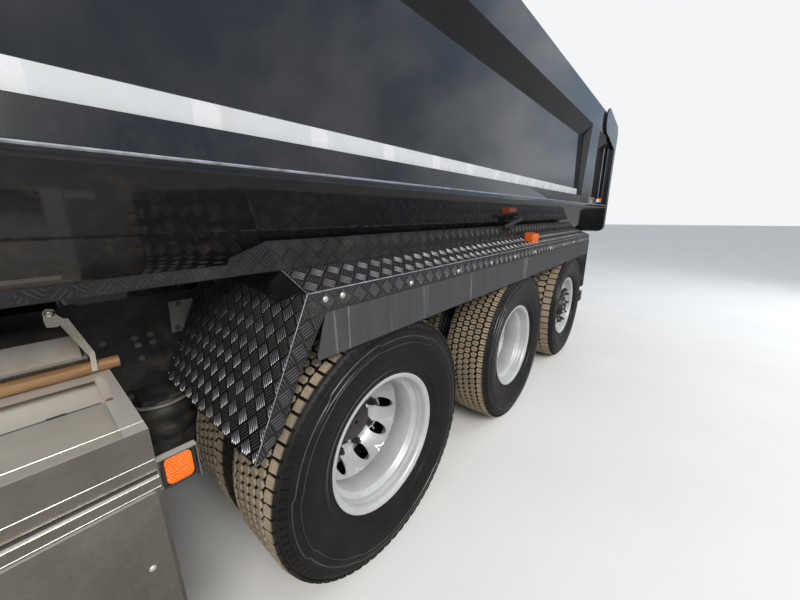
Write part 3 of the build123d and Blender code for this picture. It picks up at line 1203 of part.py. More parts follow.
with BuildPart() as sills_and_hooks:
    for side in (1, -1):
        sill_rear = HINGE_X + SILL_BACK
        with BuildSketch(Plane.YZ.offset(sill_rear)):
            with Locations((side * (RAIL_Y - 40), (SILL_Z + FLOOR_Z) / 2)):
                Rectangle(80, FLOOR_Z - SILL_Z)
        extrude(amount=HEAD_FOOT_X - sill_rear)
        with BuildSketch(Plane.XZ.offset(-side * EAR_Y)):
            with BuildLine():
                Polyline(
                    (HINGE_X - 60, HINGE_Z), (HINGE_X - 120, FLOOR_Z), (HINGE_X + 200, FLOOR_Z),
                    (HINGE_X + 60, HINGE_Z),
                    close=True,
                )
            make_face()
            with Locations((HINGE_X, HINGE_Z)):
                Circle(60)
                Circle(HINGE_PIN_R + FIT, mode=Mode.SUBTRACT)
        extrude(amount=-side * EAR_T)
        with BuildSketch(Plane.XZ.offset(-side * RAIL_OUT_Y)):
            with Locations((GATE_PIVOT_X, GATE_PIVOT_Z)):
                Circle(GATE_PIN_R)
        extrude(amount=-side * (GAP + GATE_ARM_T))
    with BuildSketch(Plane.XZ):
        with BuildLine():
            ahead_of_face(0)
        make_face()
    extrude(amount=LEDGE_Y + 10, both=True, mode=Mode.SUBTRACT)
    for y in (-1000.0, -560.0, 560.0, 1000.0):
        with BuildSketch(Plane.XZ.offset(-y + 40)):
            with BuildLine():
                Polyline(
                    (face_x(FLOOR_Z + 100), FLOOR_Z + 100),
                    (face_x(HEADBOARD_Z - 50), HEADBOARD_Z - 50),
                    (face_x(HEADBOARD_Z - 50) + 50, HEADBOARD_Z - 50),
                    (face_x(FLOOR_Z + 100) + 50, FLOOR_Z + 100),
                    close=True,
                )
            make_face()
        extrude(amount=-80)
    slot = EYE_PIN_R + EYE_SLOT
    hook_x = CYL_EYE_X + slot + 40
    hook_top = CYL_EYE_Z + slot + 40
    leg_z = CYL_EYE_Z - EYE_DRIFT - EYE_PIN_R
    for side in (1, -1):
        with BuildSketch(Plane.XZ.offset(-side * HOOK_Y)):
            with BuildLine():
                Polyline(
                    (face_x(leg_z - 60), leg_z - 60), (CYL_EYE_X - slot - 40, leg_z),
                    (hook_x, leg_z), (hook_x, CYL_EYE_Z + 20), (hook_x - 40, hook_top),
                    (face_x(hook_top + 60), hook_top + 60),
                    close=True,
                )
            make_face()
            with Locations((CYL_EYE_X, CYL_EYE_Z)):
                Circle(slot, mode=Mode.SUBTRACT)
            with Locations((CYL_EYE_X, CYL_EYE_Z - 100)):
                Rectangle(2 * slot, 200, mode=Mode.SUBTRACT)
        extrude(amount=-side * HOOK_T)
save(welded(side_beams, top_rails, side_posts, sills_and_hooks), "dump_frame")

# Tailgate: a sheet stiffened by a frame and ribs, hung by two side arms with rounded tops
with BuildPart() as gate_panel:
    gate_y = RAIL_OUT_Y + GAP + GATE_ARM_T
    gate_z = FLOOR_Z + 580
    gate_h = 1200.0
    sheet_x = BODY_REAR_X - TAIL_GAP
    with BuildSketch(Plane.YZ.offset(TAIL_X)):
        with Locations((0, gate_z)):
            RectangleRounded(2 * gate_y, gate_h, 60)
    extrude(amount=sheet_x - TAIL_X)
    with BuildSketch(Plane.YZ.offset(TAIL_X)):
        with Locations((0, gate_z)):
            with GridLocations(2 * gate_y / 5 - 12, gate_h / 2 - 30, 5, 2):
                Rectangle(2 * gate_y / 5 - 100, gate_h / 2 - 110)
    extrude(amount=sheet_x - TAIL_SHEET - TAIL_X, mode=Mode.SUBTRACT)
with BuildPart() as gate_arms:
    for side in (1, -1):
        with BuildSketch(Plane.XZ.offset(-side * (RAIL_OUT_Y + GAP))):
            with BuildLine():
                Polyline(
                    (TAIL_X, GATE_PIVOT_Z - 220), (GATE_PIVOT_X - 20, GATE_PIVOT_Z - GATE_ARM_R + 2),
                    (GATE_PIVOT_X + 20, GATE_PIVOT_Z + GATE_ARM_R - 2), (TAIL_X + 60, GATE_PIVOT_Z + 50),
                    (TAIL_X, GATE_PIVOT_Z - 20),
                    close=True,
                )
            make_face()
            with Locations((GATE_PIVOT_X, GATE_PIVOT_Z)):
                Circle(GATE_ARM_R)
                Circle(GATE_PIN_R + FIT, mode=Mode.SUBTRACT)
        extrude(amount=-side * GATE_ARM_T)
    add(gate_panel.part, mode=Mode.SUBTRACT)
save(welded(gate_panel, gate_arms), "tailgate")

# Telescopic lift cylinder: an outer tube and five stages along its leaning axis
LEAN = atan2(CYL_X - CYL_EYE_X, CYL_EYE_Z - CYL_BASE_Z)
CYL_LEN = hypot(CYL_X - CYL_EYE_X, CYL_EYE_Z - CYL_BASE_Z)
LAST = len(CYL_RADII) - 1
cylinder_base = Plane(
    origin=(CYL_X, 0, CYL_BASE_Z), x_dir=(cos(LEAN), 0, sin(LEAN)), z_dir=(-sin(LEAN), 0, cos(LEAN))
)


def along(distance):
    return (CYL_X - distance * sin(LEAN), CYL_BASE_Z + distance * cos(LEAN))


for index in range(LAST + 1):
    radius = CYL_RADII[index]
    foot = BARREL_FOOT + index * CYL_WALL
    head = CYL_LEN - HEAD_DROP + index * STAGE_STEP
    with BuildPart() as stage:
        with BuildSketch(cylinder_base.offset(foot)):
            Circle(radius)
        extrude(amount=head - foot)
        if index < LAST:
            with BuildSketch(cylinder_base.offset(foot + CYL_WALL)):
                Circle(radius - CYL_WALL)
            extrude(amount=head - foot - CYL_WALL - GLAND_L, mode=Mode.SUBTRACT)
            with BuildSketch(cylinder_base.offset(head - GLAND_L - 1)):
                Circle(CYL_RADII[index + 1] + FIT)
            extrude(amount=GLAND_L + 1, mode=Mode.SUBTRACT)
        if index == 0:
            with BuildSketch(Plane.XZ):
                with Locations((CYL_X, CYL_BASE_Z)):
                    Circle(75)
                with Locations(along(55)):
                    Rectangle(110, 60, rotation=degrees(LEAN))
            extrude(amount=70, both=True)
            with BuildSketch(Plane.XZ):
                with Locations((CYL_X, CYL_BASE_Z)):
                    Circle(CYL_PIN_R + FIT)
            extrude(amount=90, both=True, mode=Mode.SUBTRACT)
        if index == LAST:
            with BuildSketch(Plane.XZ):
                with Locations((CYL_EYE_X, CYL_EYE_Z)):
                    Circle(48)
                with Locations(along((head + CYL_LEN) / 2 - 5)):
                    Rectangle(50, CYL_LEN - head + 10, rotation=degrees(LEAN))
            extrude(amount=32, both=True)
            with BuildSketch(Plane.XZ):
                with Locations((CYL_EYE_X, CYL_EYE_Z)):
                    Circle(EYE_PIN_R)
            extrude(amount=HOOK_Y + HOOK_T + 10, both=True)
    save(stage.part, "lift_tube" if index == 0 else "lift_stage_" + str(index))

# Steering knuckles
KNUCKLES = (
    ("knuckle_front_left", FRONT_AXLE_X, 1, FRONT_KINGPIN_Y, FRONT_TYRE_Y + 80),
    ("knuckle_front_right", FRONT_AXLE_X, -1, FRONT_KINGPIN_Y, FRONT_TYRE_Y + 80),
    ("knuckle_tag_left", TAG_X, 1, TAG_KINGPIN_Y, TAG_TYRE_Y + 80),
    ("knuckle_tag_right", TAG_X, -1, TAG_KINGPIN_Y, TAG_TYRE_Y + 80),
)
for name, x, side, pin_y, end_y in KNUCKLES:
    with BuildPart() as knuckle:
        with BuildSketch(Plane.YZ.offset(x - 55)):
            with BuildLine():
                Polyline(
                    (side * (pin_y - 45), TYRE_R - 145), (side * (pin_y + 100), TYRE_R - 145),
                    (side * (pin_y + 100), TYRE_R + 145), (side * (pin_y - 45), TYRE_R + 145),
                    (side * (pin_y - 45), TYRE_R + 75 + GAP),
                    (side * (pin_y + 65), TYRE_R + 75 + GAP),
                    (side * (pin_y + 65), TYRE_R - 75 - GAP),
                    (side * (pin_y - 45), TYRE_R - 75 - GAP),
                    close=True,
                )
            make_face()
        extrude(amount=110)
        with Locations((x, side * pin_y, TYRE_R)):
            Cylinder(25, 290)
        with Locations(Location((x, side * (pin_y + 100 + end_y) / 2, TYRE_R), (90, 0, 0))):
            Cylinder(SPINDLE_R, end_y - pin_y - 100)
    save(knuckle.part, name)

# Wheels. Rows: tyre centre, tyre width, tread width, rim width, disc face from the centre.
# The discs carry a ring of hand holes, and hub and brake drum turn with them.
DUAL_ROWS = (
    (DUAL_DISC_Y + DISC_OFFSET, TYRE_W, TREAD_W, RIM_W, -DISC_OFFSET),
    (DUAL_DISC_Y - DISC_OFFSET, TYRE_W, TREAD_W, RIM_W, DISC_OFFSET),
)
FRONT_ROWS = ((FRONT_TYRE_Y, TYRE_W, TREAD_W, RIM_W, TAG_DISC_OFFSET + 10),)
TAG_ROWS = ((TAG_TYRE_Y, TAG_TYRE_W, TAG_TREAD_W, TAG_RIM_W, TAG_DISC_OFFSET),)
STATIONS = (
    ("front_left", FRONT_AXLE_X, 1, SPINDLE_R, FRONT_ROWS),
    ("front_right", FRONT_AXLE_X, -1, SPINDLE_R, FRONT_ROWS),
    ("drive_1_left", DRIVE_1_X, 1, HALF_SHAFT_R, DUAL_ROWS),
    ("drive_1_right", DRIVE_1_X, -1, HALF_SHAFT_R, DUAL_ROWS),
    ("drive_2_left", DRIVE_2_X, 1, HALF_SHAFT_R, DUAL_ROWS),
    ("drive_2_right", DRIVE_2_X, -1, HALF_SHAFT_R, DUAL_ROWS),
    ("tag_left", TAG_X, 1, SPINDLE_R, TAG_ROWS),
    ("tag_right", TAG_X, -1, SPINDLE_R, TAG_ROWS),
)
for name, x, side, bore, rows in STATIONS:
    spin = Axis((x, 0, TYRE_R), (0, 1, 0))
    with BuildPart() as tyre:
        for row_y, width, tread, rim_w, disc in rows:
            yc = side * row_y
            with BuildSketch(Plane.YZ.offset(x)):
                with BuildLine():
                    Polyline(
                        (yc - rim_w / 2, TYRE_R + RIM_SEAT_R),
                        (yc - width / 2, 2 * TYRE_R - WIDEST_DROP),
                        (yc - tread / 2 - 4, 2 * TYRE_R - SHOULDER_DROP),
                        (yc - tread / 2 + 18, 2 * TYRE_R),
                        (yc + tread / 2 - 18, 2 * TYRE_R),
                        (yc + tread / 2 + 4, 2 * TYRE_R - SHOULDER_DROP),
                        (yc + width / 2, 2 * TYRE_R - WIDEST_DROP),
                        (yc + rim_w / 2, TYRE_R + RIM_SEAT_R),
                        close=True,
                    )
                make_face()
            revolve(axis=spin)
    save(tyre.part, "tyre_" + name)
    with BuildPart() as rim:
        for row_y, width, tread, rim_w, disc in rows:
            yc = side * row_y
            half = rim_w / 2
            seat_r = TYRE_R + RIM_SEAT_R - 1
            flange_r = TYRE_R + RIM_FLANGE_R - 4
            well_r = TYRE_R + RIM_WELL_R
            with BuildSketch(Plane.YZ.offset(x)):
                with BuildLine():
                    Polyline(
                        (yc - half - FLANGE_T, flange_r - 26), (yc - half - FLANGE_T, flange_r),
                        (yc - half - 2, seat_r), (yc - half + SEAT_L, seat_r),
                        (yc - half + SEAT_L + 15, well_r), (yc + half - SEAT_L - 15, well_r),
                        (yc + half - SEAT_L, seat_r), (yc + half + 2, seat_r),
                        (yc + half + FLANGE_T, flange_r), (yc + half + FLANGE_T, flange_r - 26),
                        (yc + half - SEAT_L - 21, well_r - RIM_T),
                        (yc - half + SEAT_L + 21, well_r - RIM_T),
                        close=True,
                    )
                make_face()
            revolve(axis=spin)
            face = yc + side * disc
            inboard = 1 if disc > 0 else -1
            back = face - side * inboard * DISC_T
            root = yc + side * inboard * (half - 50)
            with BuildSketch(Plane.YZ.offset(x)):
                with BuildLine():
                    Polyline(
                        (face, TYRE_R + bore + FIT),
                        (face, TYRE_R + DISC_FLAT_R),
                        (root, TYRE_R + RIM_WELL_R + 4),
                        (root - side * inboard * 20, TYRE_R + RIM_WELL_R - 4),
                        (back, TYRE_R + DISC_FLAT_R - 8),
                        (back, TYRE_R + bore + FIT),
                        close=True,
                    )
                make_face()
            revolve(axis=spin)
        disc_y = side * (rows[0][0] + rows[0][4])
        with BuildSketch(Plane.XZ.offset(-disc_y)):
            with Locations((x, TYRE_R)):
                with PolarLocations(HAND_HOLE_PCR, HAND_HOLES):
                    Circle(HAND_HOLE_R)
        extrude(amount=115, both=True, mode=Mode.SUBTRACT)
        if len(rows) == 2:
            hub = (
                (side * 660, DRUM_R), (disc_y - side * 60, DRUM_R), (disc_y - side * 40, HUB_R),
                (disc_y + side * 34, HUB_R), (disc_y + side * 52, CAP_R + 12),
                (disc_y + side * 84, CAP_R), (disc_y + side * 90, CAP_R - 8),
            )
        else:
            hub = (
                (disc_y - side * 80, CAP_R + 17), (disc_y + side * 12, CAP_R + 17),
                (disc_y + side * 34, CAP_R), (disc_y + side * 40, CAP_R - 8),
            )
        with BuildSketch(Plane.YZ.offset(x)):
            with BuildLine():
                Polyline(
                    (hub[0][0], TYRE_R + bore + FIT),
                    *[(y, TYRE_R + radius) for y, radius in hub],
                    (hub[-1][0], TYRE_R + bore + FIT),
                    close=True,
                )
            make_face()
        revolve(axis=spin)
    save(rim.part, "rim_" + name)
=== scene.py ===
import bpy
import bmesh
import math
from mathutils import Matrix, Vector


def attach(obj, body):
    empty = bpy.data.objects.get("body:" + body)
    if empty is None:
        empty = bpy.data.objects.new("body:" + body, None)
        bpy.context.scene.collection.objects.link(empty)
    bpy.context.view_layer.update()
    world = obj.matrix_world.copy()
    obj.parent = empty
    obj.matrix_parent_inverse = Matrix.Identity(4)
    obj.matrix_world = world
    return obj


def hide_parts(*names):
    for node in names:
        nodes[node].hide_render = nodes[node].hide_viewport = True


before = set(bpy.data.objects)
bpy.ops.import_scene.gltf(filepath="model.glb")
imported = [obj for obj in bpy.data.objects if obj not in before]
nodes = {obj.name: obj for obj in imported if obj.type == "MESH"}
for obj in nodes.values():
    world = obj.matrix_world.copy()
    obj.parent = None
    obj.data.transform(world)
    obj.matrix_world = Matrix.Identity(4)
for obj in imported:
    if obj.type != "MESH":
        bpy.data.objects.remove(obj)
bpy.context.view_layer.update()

# Camera: wide lens beside the toolbox, looking back along the left side
YAW, PITCH, ROLL = 0.7085, 0.2541, -0.0073
CAMERA_AT = Vector((0.4052, 2.0346, 1.4604))
SENSOR_MM, LENS_MM = 36.0, 14.507
forward = Vector((-math.cos(PITCH) * math.cos(YAW), -math.cos(PITCH) * math.sin(YAW), -math.sin(PITCH)))
level = forward.cross(Vector((0, 0, 1))).normalized()
rise = level.cross(forward)
right = math.cos(ROLL) * level + math.sin(ROLL) * rise
up = -math.sin(ROLL) * level + math.cos(ROLL) * rise
camera_data = bpy.data.cameras.new("camera")
camera_data.sensor_fit = "HORIZONTAL"
camera_data.sensor_width = SENSOR_MM
camera_data.lens = LENS_MM
camera_data.clip_start = 0.05
camera = bpy.data.objects.new("camera", camera_data)
camera.matrix_world = Matrix((
    (right.x, up.x, -forward.x, CAMERA_AT.x),
    (right.y, up.y, -forward.y, CAMERA_AT.y),
    (right.z, up.z, -forward.z, CAMERA_AT.z),
    (0, 0, 0, 1),
))
bpy.context.collection.objects.link(camera)
bpy.context.scene.camera = camera
bpy.context.scene.view_settings.view_transform = "Standard"

# Sizes of the solids, in metres
TYRE_R = 0.538
AXLE_X = {"front": 3.150, "drive_1": -0.450, "drive_2": -1.815, "tag": -3.205}
FENDER_Y, FENDER_Z, LIP_Z = 1.275, 1.253, 1.187
UPSTAND_Y, UPSTAND_FOOT = 1.148, 1.308
FENDER_FRONT, FENDER_REAR = -0.088, -3.670
SLOPE_FOOT_X, SLOPE_FOOT_Z, SLOPE_IN_Y = 0.114, 0.824, 0.510
RAIL_Y = 0.385
# Directions
BACK, OUT, UP = (-1, 0, 0), (0, 1, 0), (0, 0, 1)


# Node helpers
def add(tree, kind, **values):
    """A new shader node. Numbers go to its sockets by name, with _ for a space."""
    node = tree.nodes.new("ShaderNode" + kind)
    for name, value in values.items():
        node.inputs[name.replace("_", " ")].default_value = value
    return node


def feed(tree, value, socket):
    """A number, a colour or another node's result into a socket."""
    if isinstance(value, tuple):
        socket.default_value = (*value, 1.0)
    elif isinstance(value, (int, float)):
        socket.default_value = value
    else:
        tree.links.new(value, socket)


def coords(tree, scale=(1, 1, 1)):
    place = add(tree, "Mapping", Scale=scale)
    feed(tree, add(tree, "TexCoord").outputs["Object"], place.inputs["Vector"])
    return place.outputs["Vector"]


def noise(tree, vector, scale, detail=4.0, rough=0.55, warp=0.0):
    node = add(tree, "TexNoise", Scale=scale, Detail=detail, Roughness=rough, Distortion=warp)
    feed(tree, vector, node.inputs["Vector"])
    return node.outputs["Fac"]


def ramp(tree, value, low, high, a=0.0, b=1.0):
    node = add(tree, "MapRange", From_Min=low, From_Max=high, To_Min=a, To_Max=b)
    feed(tree, value, node.inputs["Value"])
    return node.outputs["Result"]


def maths(tree, kind, a, b=0.0):
    node = add(tree, "Math")
    node.operation = kind
    feed(tree, a, node.inputs[0])
    feed(tree, b, node.inputs[1])
    return node.outputs[0]


def times(tree, a, b):
    return maths(tree, "MULTIPLY", a, b)


def mix(tree, factor, a, b):
    node = add(tree, "Mix")
    node.data_type = "RGBA"
    feed(tree, factor, node.inputs["Factor"])
    feed(tree, a, node.inputs[6])
    feed(tree, b, node.inputs[7])
    return node.outputs[2]


def split(tree, vector=None):
    """The x, y and z of a vector, or of the place on the object."""
    if vector is None:
        vector = add(tree, "TexCoord").outputs["Object"]
    parts = add(tree, "SeparateXYZ")
    feed(tree, vector, parts.inputs[0])
    return parts.outputs


MATS = {}


def surface(name, **values):
    """A new material, kept in MATS: its node tree and its shader's sockets."""
    made = bpy.data.materials.new(name)
    made.use_nodes = True
    tree = made.node_tree
    tree.nodes.clear()
    shader = add(tree, "BsdfPrincipled", **values)
    feed(tree, shader.outputs[0], add(tree, "OutputMaterial").inputs["Surface"])
    MATS[name] = made
    return tree, shader.inputs


def material(name, base, other, rough, metal=0.0, coat=0.0, mottle=6.0, dust=None,
             dust_at=(0.45, 0.75), dust_scale=9.0, dust_stretch=(1, 1, 1), low=None,
             stretch=(1, 1, 1), bump=None, gloss_span=0.08, dent=0.0, top_highlight_paint=None):
    """A mottled surface: two tones, a speckle, dust in patches, uneven gloss and a fine grain.
    low=(z_top, z_bottom) thickens the dust towards the ground, bump is the grain's scale and
    strength, dent a broad waviness, and the last argument a painted highlight: a pale, rougher,
    less metallic layer on faces that look up. The fourth number of dust and of the painted
    highlight is how far they cover."""
    tree, sockets = surface(name, Metallic=metal, Coat_Weight=coat, Coat_Roughness=0.04)
    place = coords(tree, stretch)
    broad = noise(tree, place, mottle, 5.0, 0.6)
    speck = noise(tree, place, 90.0, 3.0, 0.6)
    colour = mix(tree, ramp(tree, broad, 0.35, 0.68), base, other)
    colour = mix(tree, ramp(tree, speck, 0.35, 0.85, 0.0, 0.35), colour, tuple(0.72 * c for c in base))
    gloss = ramp(tree, broad, 0.3, 0.7, max(0.02, rough - gloss_span), rough + gloss_span)
    if dust:
        cover = noise(tree, coords(tree, dust_stretch), dust_scale, 8.0, 0.68, 0.3)
        factor = ramp(tree, cover, *dust_at, 0.0, dust[3])
        if low:
            factor = times(tree, factor, ramp(tree, split(tree)[2], *low, 0.15, 1.6))
        colour = mix(tree, factor, colour, dust[:3])
        gloss = maths(tree, "ADD", gloss, times(tree, factor, 0.35))
    # Painted highlight: faces that look up are drawn paler, rougher and less metallic
    if top_highlight_paint:
        facing_up = split(tree, add(tree, "NewGeometry").outputs["Normal"])[2]
        cover = ramp(tree, facing_up, 0.25, 0.85, 0.0, top_highlight_paint[3])
        colour = mix(tree, cover, colour, top_highlight_paint[:3])
        gloss = maths(tree, "ADD", gloss, times(tree, cover, 0.25))
        feed(tree, maths(tree, "SUBTRACT", metal, times(tree, cover, 0.6)), sockets["Metallic"])
    feed(tree, colour, sockets["Base Color"])
    feed(tree, gloss, sockets["Roughness"])
    if bump:
        grain = add(tree, "Bump", Strength=bump[1], Distance=0.001)
        feed(tree, noise(tree, place, bump[0], 4.0, 0.6), grain.inputs["Height"])
        if dent:
            wave = add(tree, "Bump", Strength=1.0, Distance=dent)
            feed(tree, noise(tree, coords(tree), 2.6, 1.0, 0.4), wave.inputs["Height"])
            feed(tree, wave.outputs[0], grain.inputs["Normal"])
        feed(tree, grain.outputs[0], sockets["Normal"])


MUD = (0.30, 0.25, 0.19)
LOW = (1.2, 0.2)
material("frame_black", (0.020, 0.020, 0.022), (0.034, 0.033, 0.032), 0.40, dust=(*MUD, 0.40),
         low=(1.3, 0.5), bump=(60, 0.15))
material("axle_black", (0.04, 0.038, 0.036), (0.07, 0.062, 0.052), 0.6, dust=(*MUD, 0.6), bump=(40, 0.3))
material("bellows_rubber", (0.018, 0.018, 0.018), (0.03, 0.03, 0.03), 0.50, dust=(*MUD, 0.35),
         bump=(120, 0.15))
material("engine_grey", (0.16, 0.17, 0.18), (0.22, 0.23, 0.24), 0.5, metal=0.3, dust=(*MUD, 0.5),
         bump=(70, 0.3))
material("tank_aluminium", (0.60, 0.61, 0.62), (0.70, 0.71, 0.72), 0.3, metal=1.0, stretch=(1, 20, 20),
         dust=(*MUD, 0.3), low=LOW)
# The toolbox's faces that look up get a pale painted highlight
material("toolbox_steel", (0.40, 0.375, 0.335), (0.52, 0.50, 0.465), 0.24, metal=1.0, mottle=5.0,
         dust=(0.30, 0.27, 0.22, 0.55), dust_at=(0.50, 0.78), dust_scale=11.0, bump=(420, 0.08), dent=0.010,
         gloss_span=0.06, top_highlight_paint=(0.66, 0.63, 0.57, 0.85))
material("shovel_steel", (0.10, 0.095, 0.088), (0.17, 0.16, 0.145), 0.45, metal=0.7, mottle=18.0,
         dust=(0.34, 0.27, 0.18, 0.5), bump=(90, 0.15))
material("handle_wood", (0.20, 0.10, 0.036), (0.35, 0.195, 0.080), 0.5, mottle=7.0, stretch=(1, 14, 14),
         dust=(0.20, 0.13, 0.07, 0.5), bump=(30, 0.3))
material("tread_plate", (0.007, 0.007, 0.0085), (0.013, 0.013, 0.015), 0.24, coat=0.2,
         dust=(0.13, 0.11, 0.085, 0.22), dust_at=(0.50, 0.80), bump=(300, 0.08))
material("skirt_plastic", (0.034, 0.037, 0.040), (0.046, 0.049, 0.052), 0.42, mottle=3.0,
         dust=(0.30, 0.30, 0.29, 0.55), dust_at=(0.60, 0.72), dust_scale=1.4, dust_stretch=(14, 1, 0.5),
         stretch=(9.0, 1, 0.6), bump=(220, 0.08))
material("flap_rubber", (0.02, 0.02, 0.02), (0.032, 0.032, 0.03), 0.6, dust=(*MUD, 0.5), low=LOW,
         bump=(120, 0.2))
material("lamp_red", (0.40, 0.012, 0.012), (0.5, 0.02, 0.02), 0.12, coat=0.6)
material("bumper_plastic", (0.035, 0.035, 0.038), (0.05, 0.05, 0.052), 0.55, dust=(*MUD, 0.3), low=LOW,
         bump=(500, 0.2))
material("lamp_clear", (0.70, 0.73, 0.76), (0.85, 0.87, 0.88), 0.08, coat=0.8)
material("guard_plastic", (0.028, 0.028, 0.03), (0.04, 0.04, 0.042), 0.55, dust=(*MUD, 0.35), low=LOW,
         bump=(500, 0.2))
material("lamp_amber", (0.62, 0.105, 0.003), (0.74, 0.155, 0.007), 0.18, coat=0.4)
material("cab_paint", (0.014, 0.014, 0.016), (0.02, 0.02, 0.023), 0.12, coat=0.6,
         dust=(0.20, 0.18, 0.15, 0.12), low=(2.0, 0.8))
material("grille_black", (0.02, 0.02, 0.022), (0.03, 0.03, 0.032), 0.3, bump=(400, 0.1))
material("mirror_black", (0.025, 0.025, 0.027), (0.035, 0.035, 0.037), 0.4, bump=(400, 0.1))
material("interior_dark", (0.05, 0.05, 0.052), (0.075, 0.073, 0.07), 0.7, bump=(700, 0.3))
material("body_paint", (0.009, 0.009, 0.011), (0.015, 0.0145, 0.0145), 0.08, coat=0.35, mottle=2.2,
         dust=(0.16, 0.12, 0.08, 0.22), dust_at=(0.52, 0.85), dust_scale=30.0, low=(1.75, 1.25),
         gloss_span=0.03)
material("cylinder_paint", (0.03, 0.03, 0.032), (0.045, 0.045, 0.047), 0.35, dust=(*MUD, 0.3))
material("cylinder_chrome", (0.68, 0.68, 0.69), (0.75, 0.75, 0.76), 0.08, metal=1.0)
material("rim_silver", (0.42, 0.43, 0.435), (0.52, 0.53, 0.535), 0.36, metal=0.25,
         dust=(0.34, 0.31, 0.26, 0.30), dust_at=(0.48, 0.82), dust_scale=14.0, bump=(200, 0.05))
material("hub_grey", (0.016, 0.0165, 0.018), (0.032, 0.031, 0.030), 0.42, metal=0.2, mottle=30.0,
         dust=(*MUD, 0.10), bump=(120, 0.3))
material("bolt_steel", (0.52, 0.52, 0.51), (0.68, 0.68, 0.66), 0.30, metal=0.6, mottle=40.0,
         dust=(*MUD, 0.3))
# Pale bluish metal for thin beads along folds and edges: a painted highlight
material("edge_highlight_paint", (0.52, 0.54, 0.58), (0.20, 0.20, 0.21), 0.30, metal=0.7, mottle=26.0,
         bump=(200, 0.1))
material("bar_worn", (0.155, 0.155, 0.165), (0.062, 0.062, 0.067), 0.34, metal=0.7, mottle=9.0,
         dust=(0.16, 0.14, 0.11, 0.45), dust_at=(0.45, 0.75), bump=(200, 0.1))
material("bolt_dirty", (0.17, 0.155, 0.13), (0.27, 0.25, 0.21), 0.45, metal=0.4, mottle=30.0,
         dust=(*MUD, 0.4))
# A darker copy of bar_worn for the bars under the body: painted shade
material("bar_painted_shade", (0.060, 0.060, 0.064), (0.028, 0.028, 0.030), 0.34, metal=0.6, mottle=9.0,
         dust=(0.16, 0.14, 0.11, 0.35), dust_at=(0.45, 0.75), bump=(200, 0.1))
material("galvanised", (0.42, 0.42, 0.39), (0.56, 0.56, 0.53), 0.42, metal=0.5, mottle=60.0,
         dust=(0.30, 0.22, 0.12, 0.55), bump=(90, 0.2))
material("rust", (0.16, 0.055, 0.018), (0.34, 0.14, 0.05), 0.8, mottle=60.0, bump=(160, 0.5))
material("worn_rubber", (0.055, 0.055, 0.055), (0.020, 0.020, 0.020), 0.38, mottle=11.0)
material("rubber_seal", (0.012, 0.012, 0.012), (0.02, 0.02, 0.02), 0.6)
material("mirror_glass", (0.72, 0.75, 0.78), (0.75, 0.78, 0.80), 0.03, metal=1.0)

# Window glass
tree, sockets = surface("glass", Base_Color=(0.55, 0.62, 0.62, 1), Transmission_Weight=0.85, IOR=1.5)
feed(tree, ramp(tree, noise(tree, coords(tree), 9.0), 0.3, 0.7, 0.02, 0.08), sockets["Roughness"])

# Tyre: near-black sidewall with a soft sheen, brown dust on the running surface, dark grooves
tree, sockets = surface("tyre_rubber", Specular_IOR_Level=0.30)
x, y, z = split(tree)
radius = maths(tree, "SQRT", maths(tree, "ADD", times(tree, x, x), times(tree, z, z)))
patch = noise(tree, coords(tree), 7.0, 6.0, 0.6)
grit = noise(tree, coords(tree), 160.0, 4.0, 0.7)
wall = mix(tree, ramp(tree, patch, 0.35, 0.7), (0.006, 0.006, 0.0065), (0.011, 0.0108, 0.0106))
worn = mix(tree, ramp(tree, grit, 0.3, 0.7), (0.22, 0.175, 0.120), (0.42, 0.345, 0.250))
worn = mix(tree, ramp(tree, patch, 0.35, 0.75, 0.0, 0.55), worn, (0.13, 0.11, 0.085))
groove = mix(tree, ramp(tree, patch, 0.3, 0.7), (0.006, 0.0055, 0.005), (0.018, 0.015, 0.012))
running = mix(tree, ramp(tree, radius, 0.5290, 0.5320), groove, worn)
feed(tree, mix(tree, ramp(tree, radius, 0.508, 0.517), wall, running), sockets["Base Color"])
feed(tree, ramp(tree, radius, 0.508, 0.520, 0.27, 0.85), sockets["Roughness"])
grain = add(tree, "Bump", Strength=0.25, Distance=0.0006)
feed(tree, grit, grain.inputs["Height"])
feed(tree, grain.outputs[0], sockets["Normal"])

# Reflective tape: white cells between fine crossed lines, brighter parts at intervals
LINE_PITCH, BRIGHT_PITCH = 0.0075, 0.30
tree, sockets = surface("tape")
x, y, z = split(tree)
lines = []
for slope in (1.0, -1.0):
    run = maths(tree, "ADD", x, times(tree, z, slope))
    wave = maths(tree, "SINE", times(tree, run, 2 * math.pi / LINE_PITCH))
    lines.append(ramp(tree, maths(tree, "ABSOLUTE", wave), 0.0, 0.42, 1.0, 0.0))
crossed = maths(tree, "MAXIMUM", *lines)
bright = maths(tree, "SINE", times(tree, x, 2 * math.pi / BRIGHT_PITCH))
cell = mix(tree, ramp(tree, bright, 0.80, 0.84), (0.44, 0.46, 0.48), (0.52, 0.53, 0.55))
soil = noise(tree, coords(tree), 22.0, 5.0, 0.6)
cell = mix(tree, ramp(tree, soil, 0.45, 0.80, 0.0, 0.35), cell, (0.36, 0.33, 0.29))
feed(tree, mix(tree, times(tree, crossed, 0.75), cell, (0.24, 0.25, 0.27)), sockets["Base Color"])
feed(tree, ramp(tree, soil, 0.3, 0.7, 0.22, 0.40), sockets["Roughness"])

for thing in nodes.values():
    for place in thing.material_slots:
        place.material = MATS[place.material.name.split(".")[0]]
        place.link = "DATA"


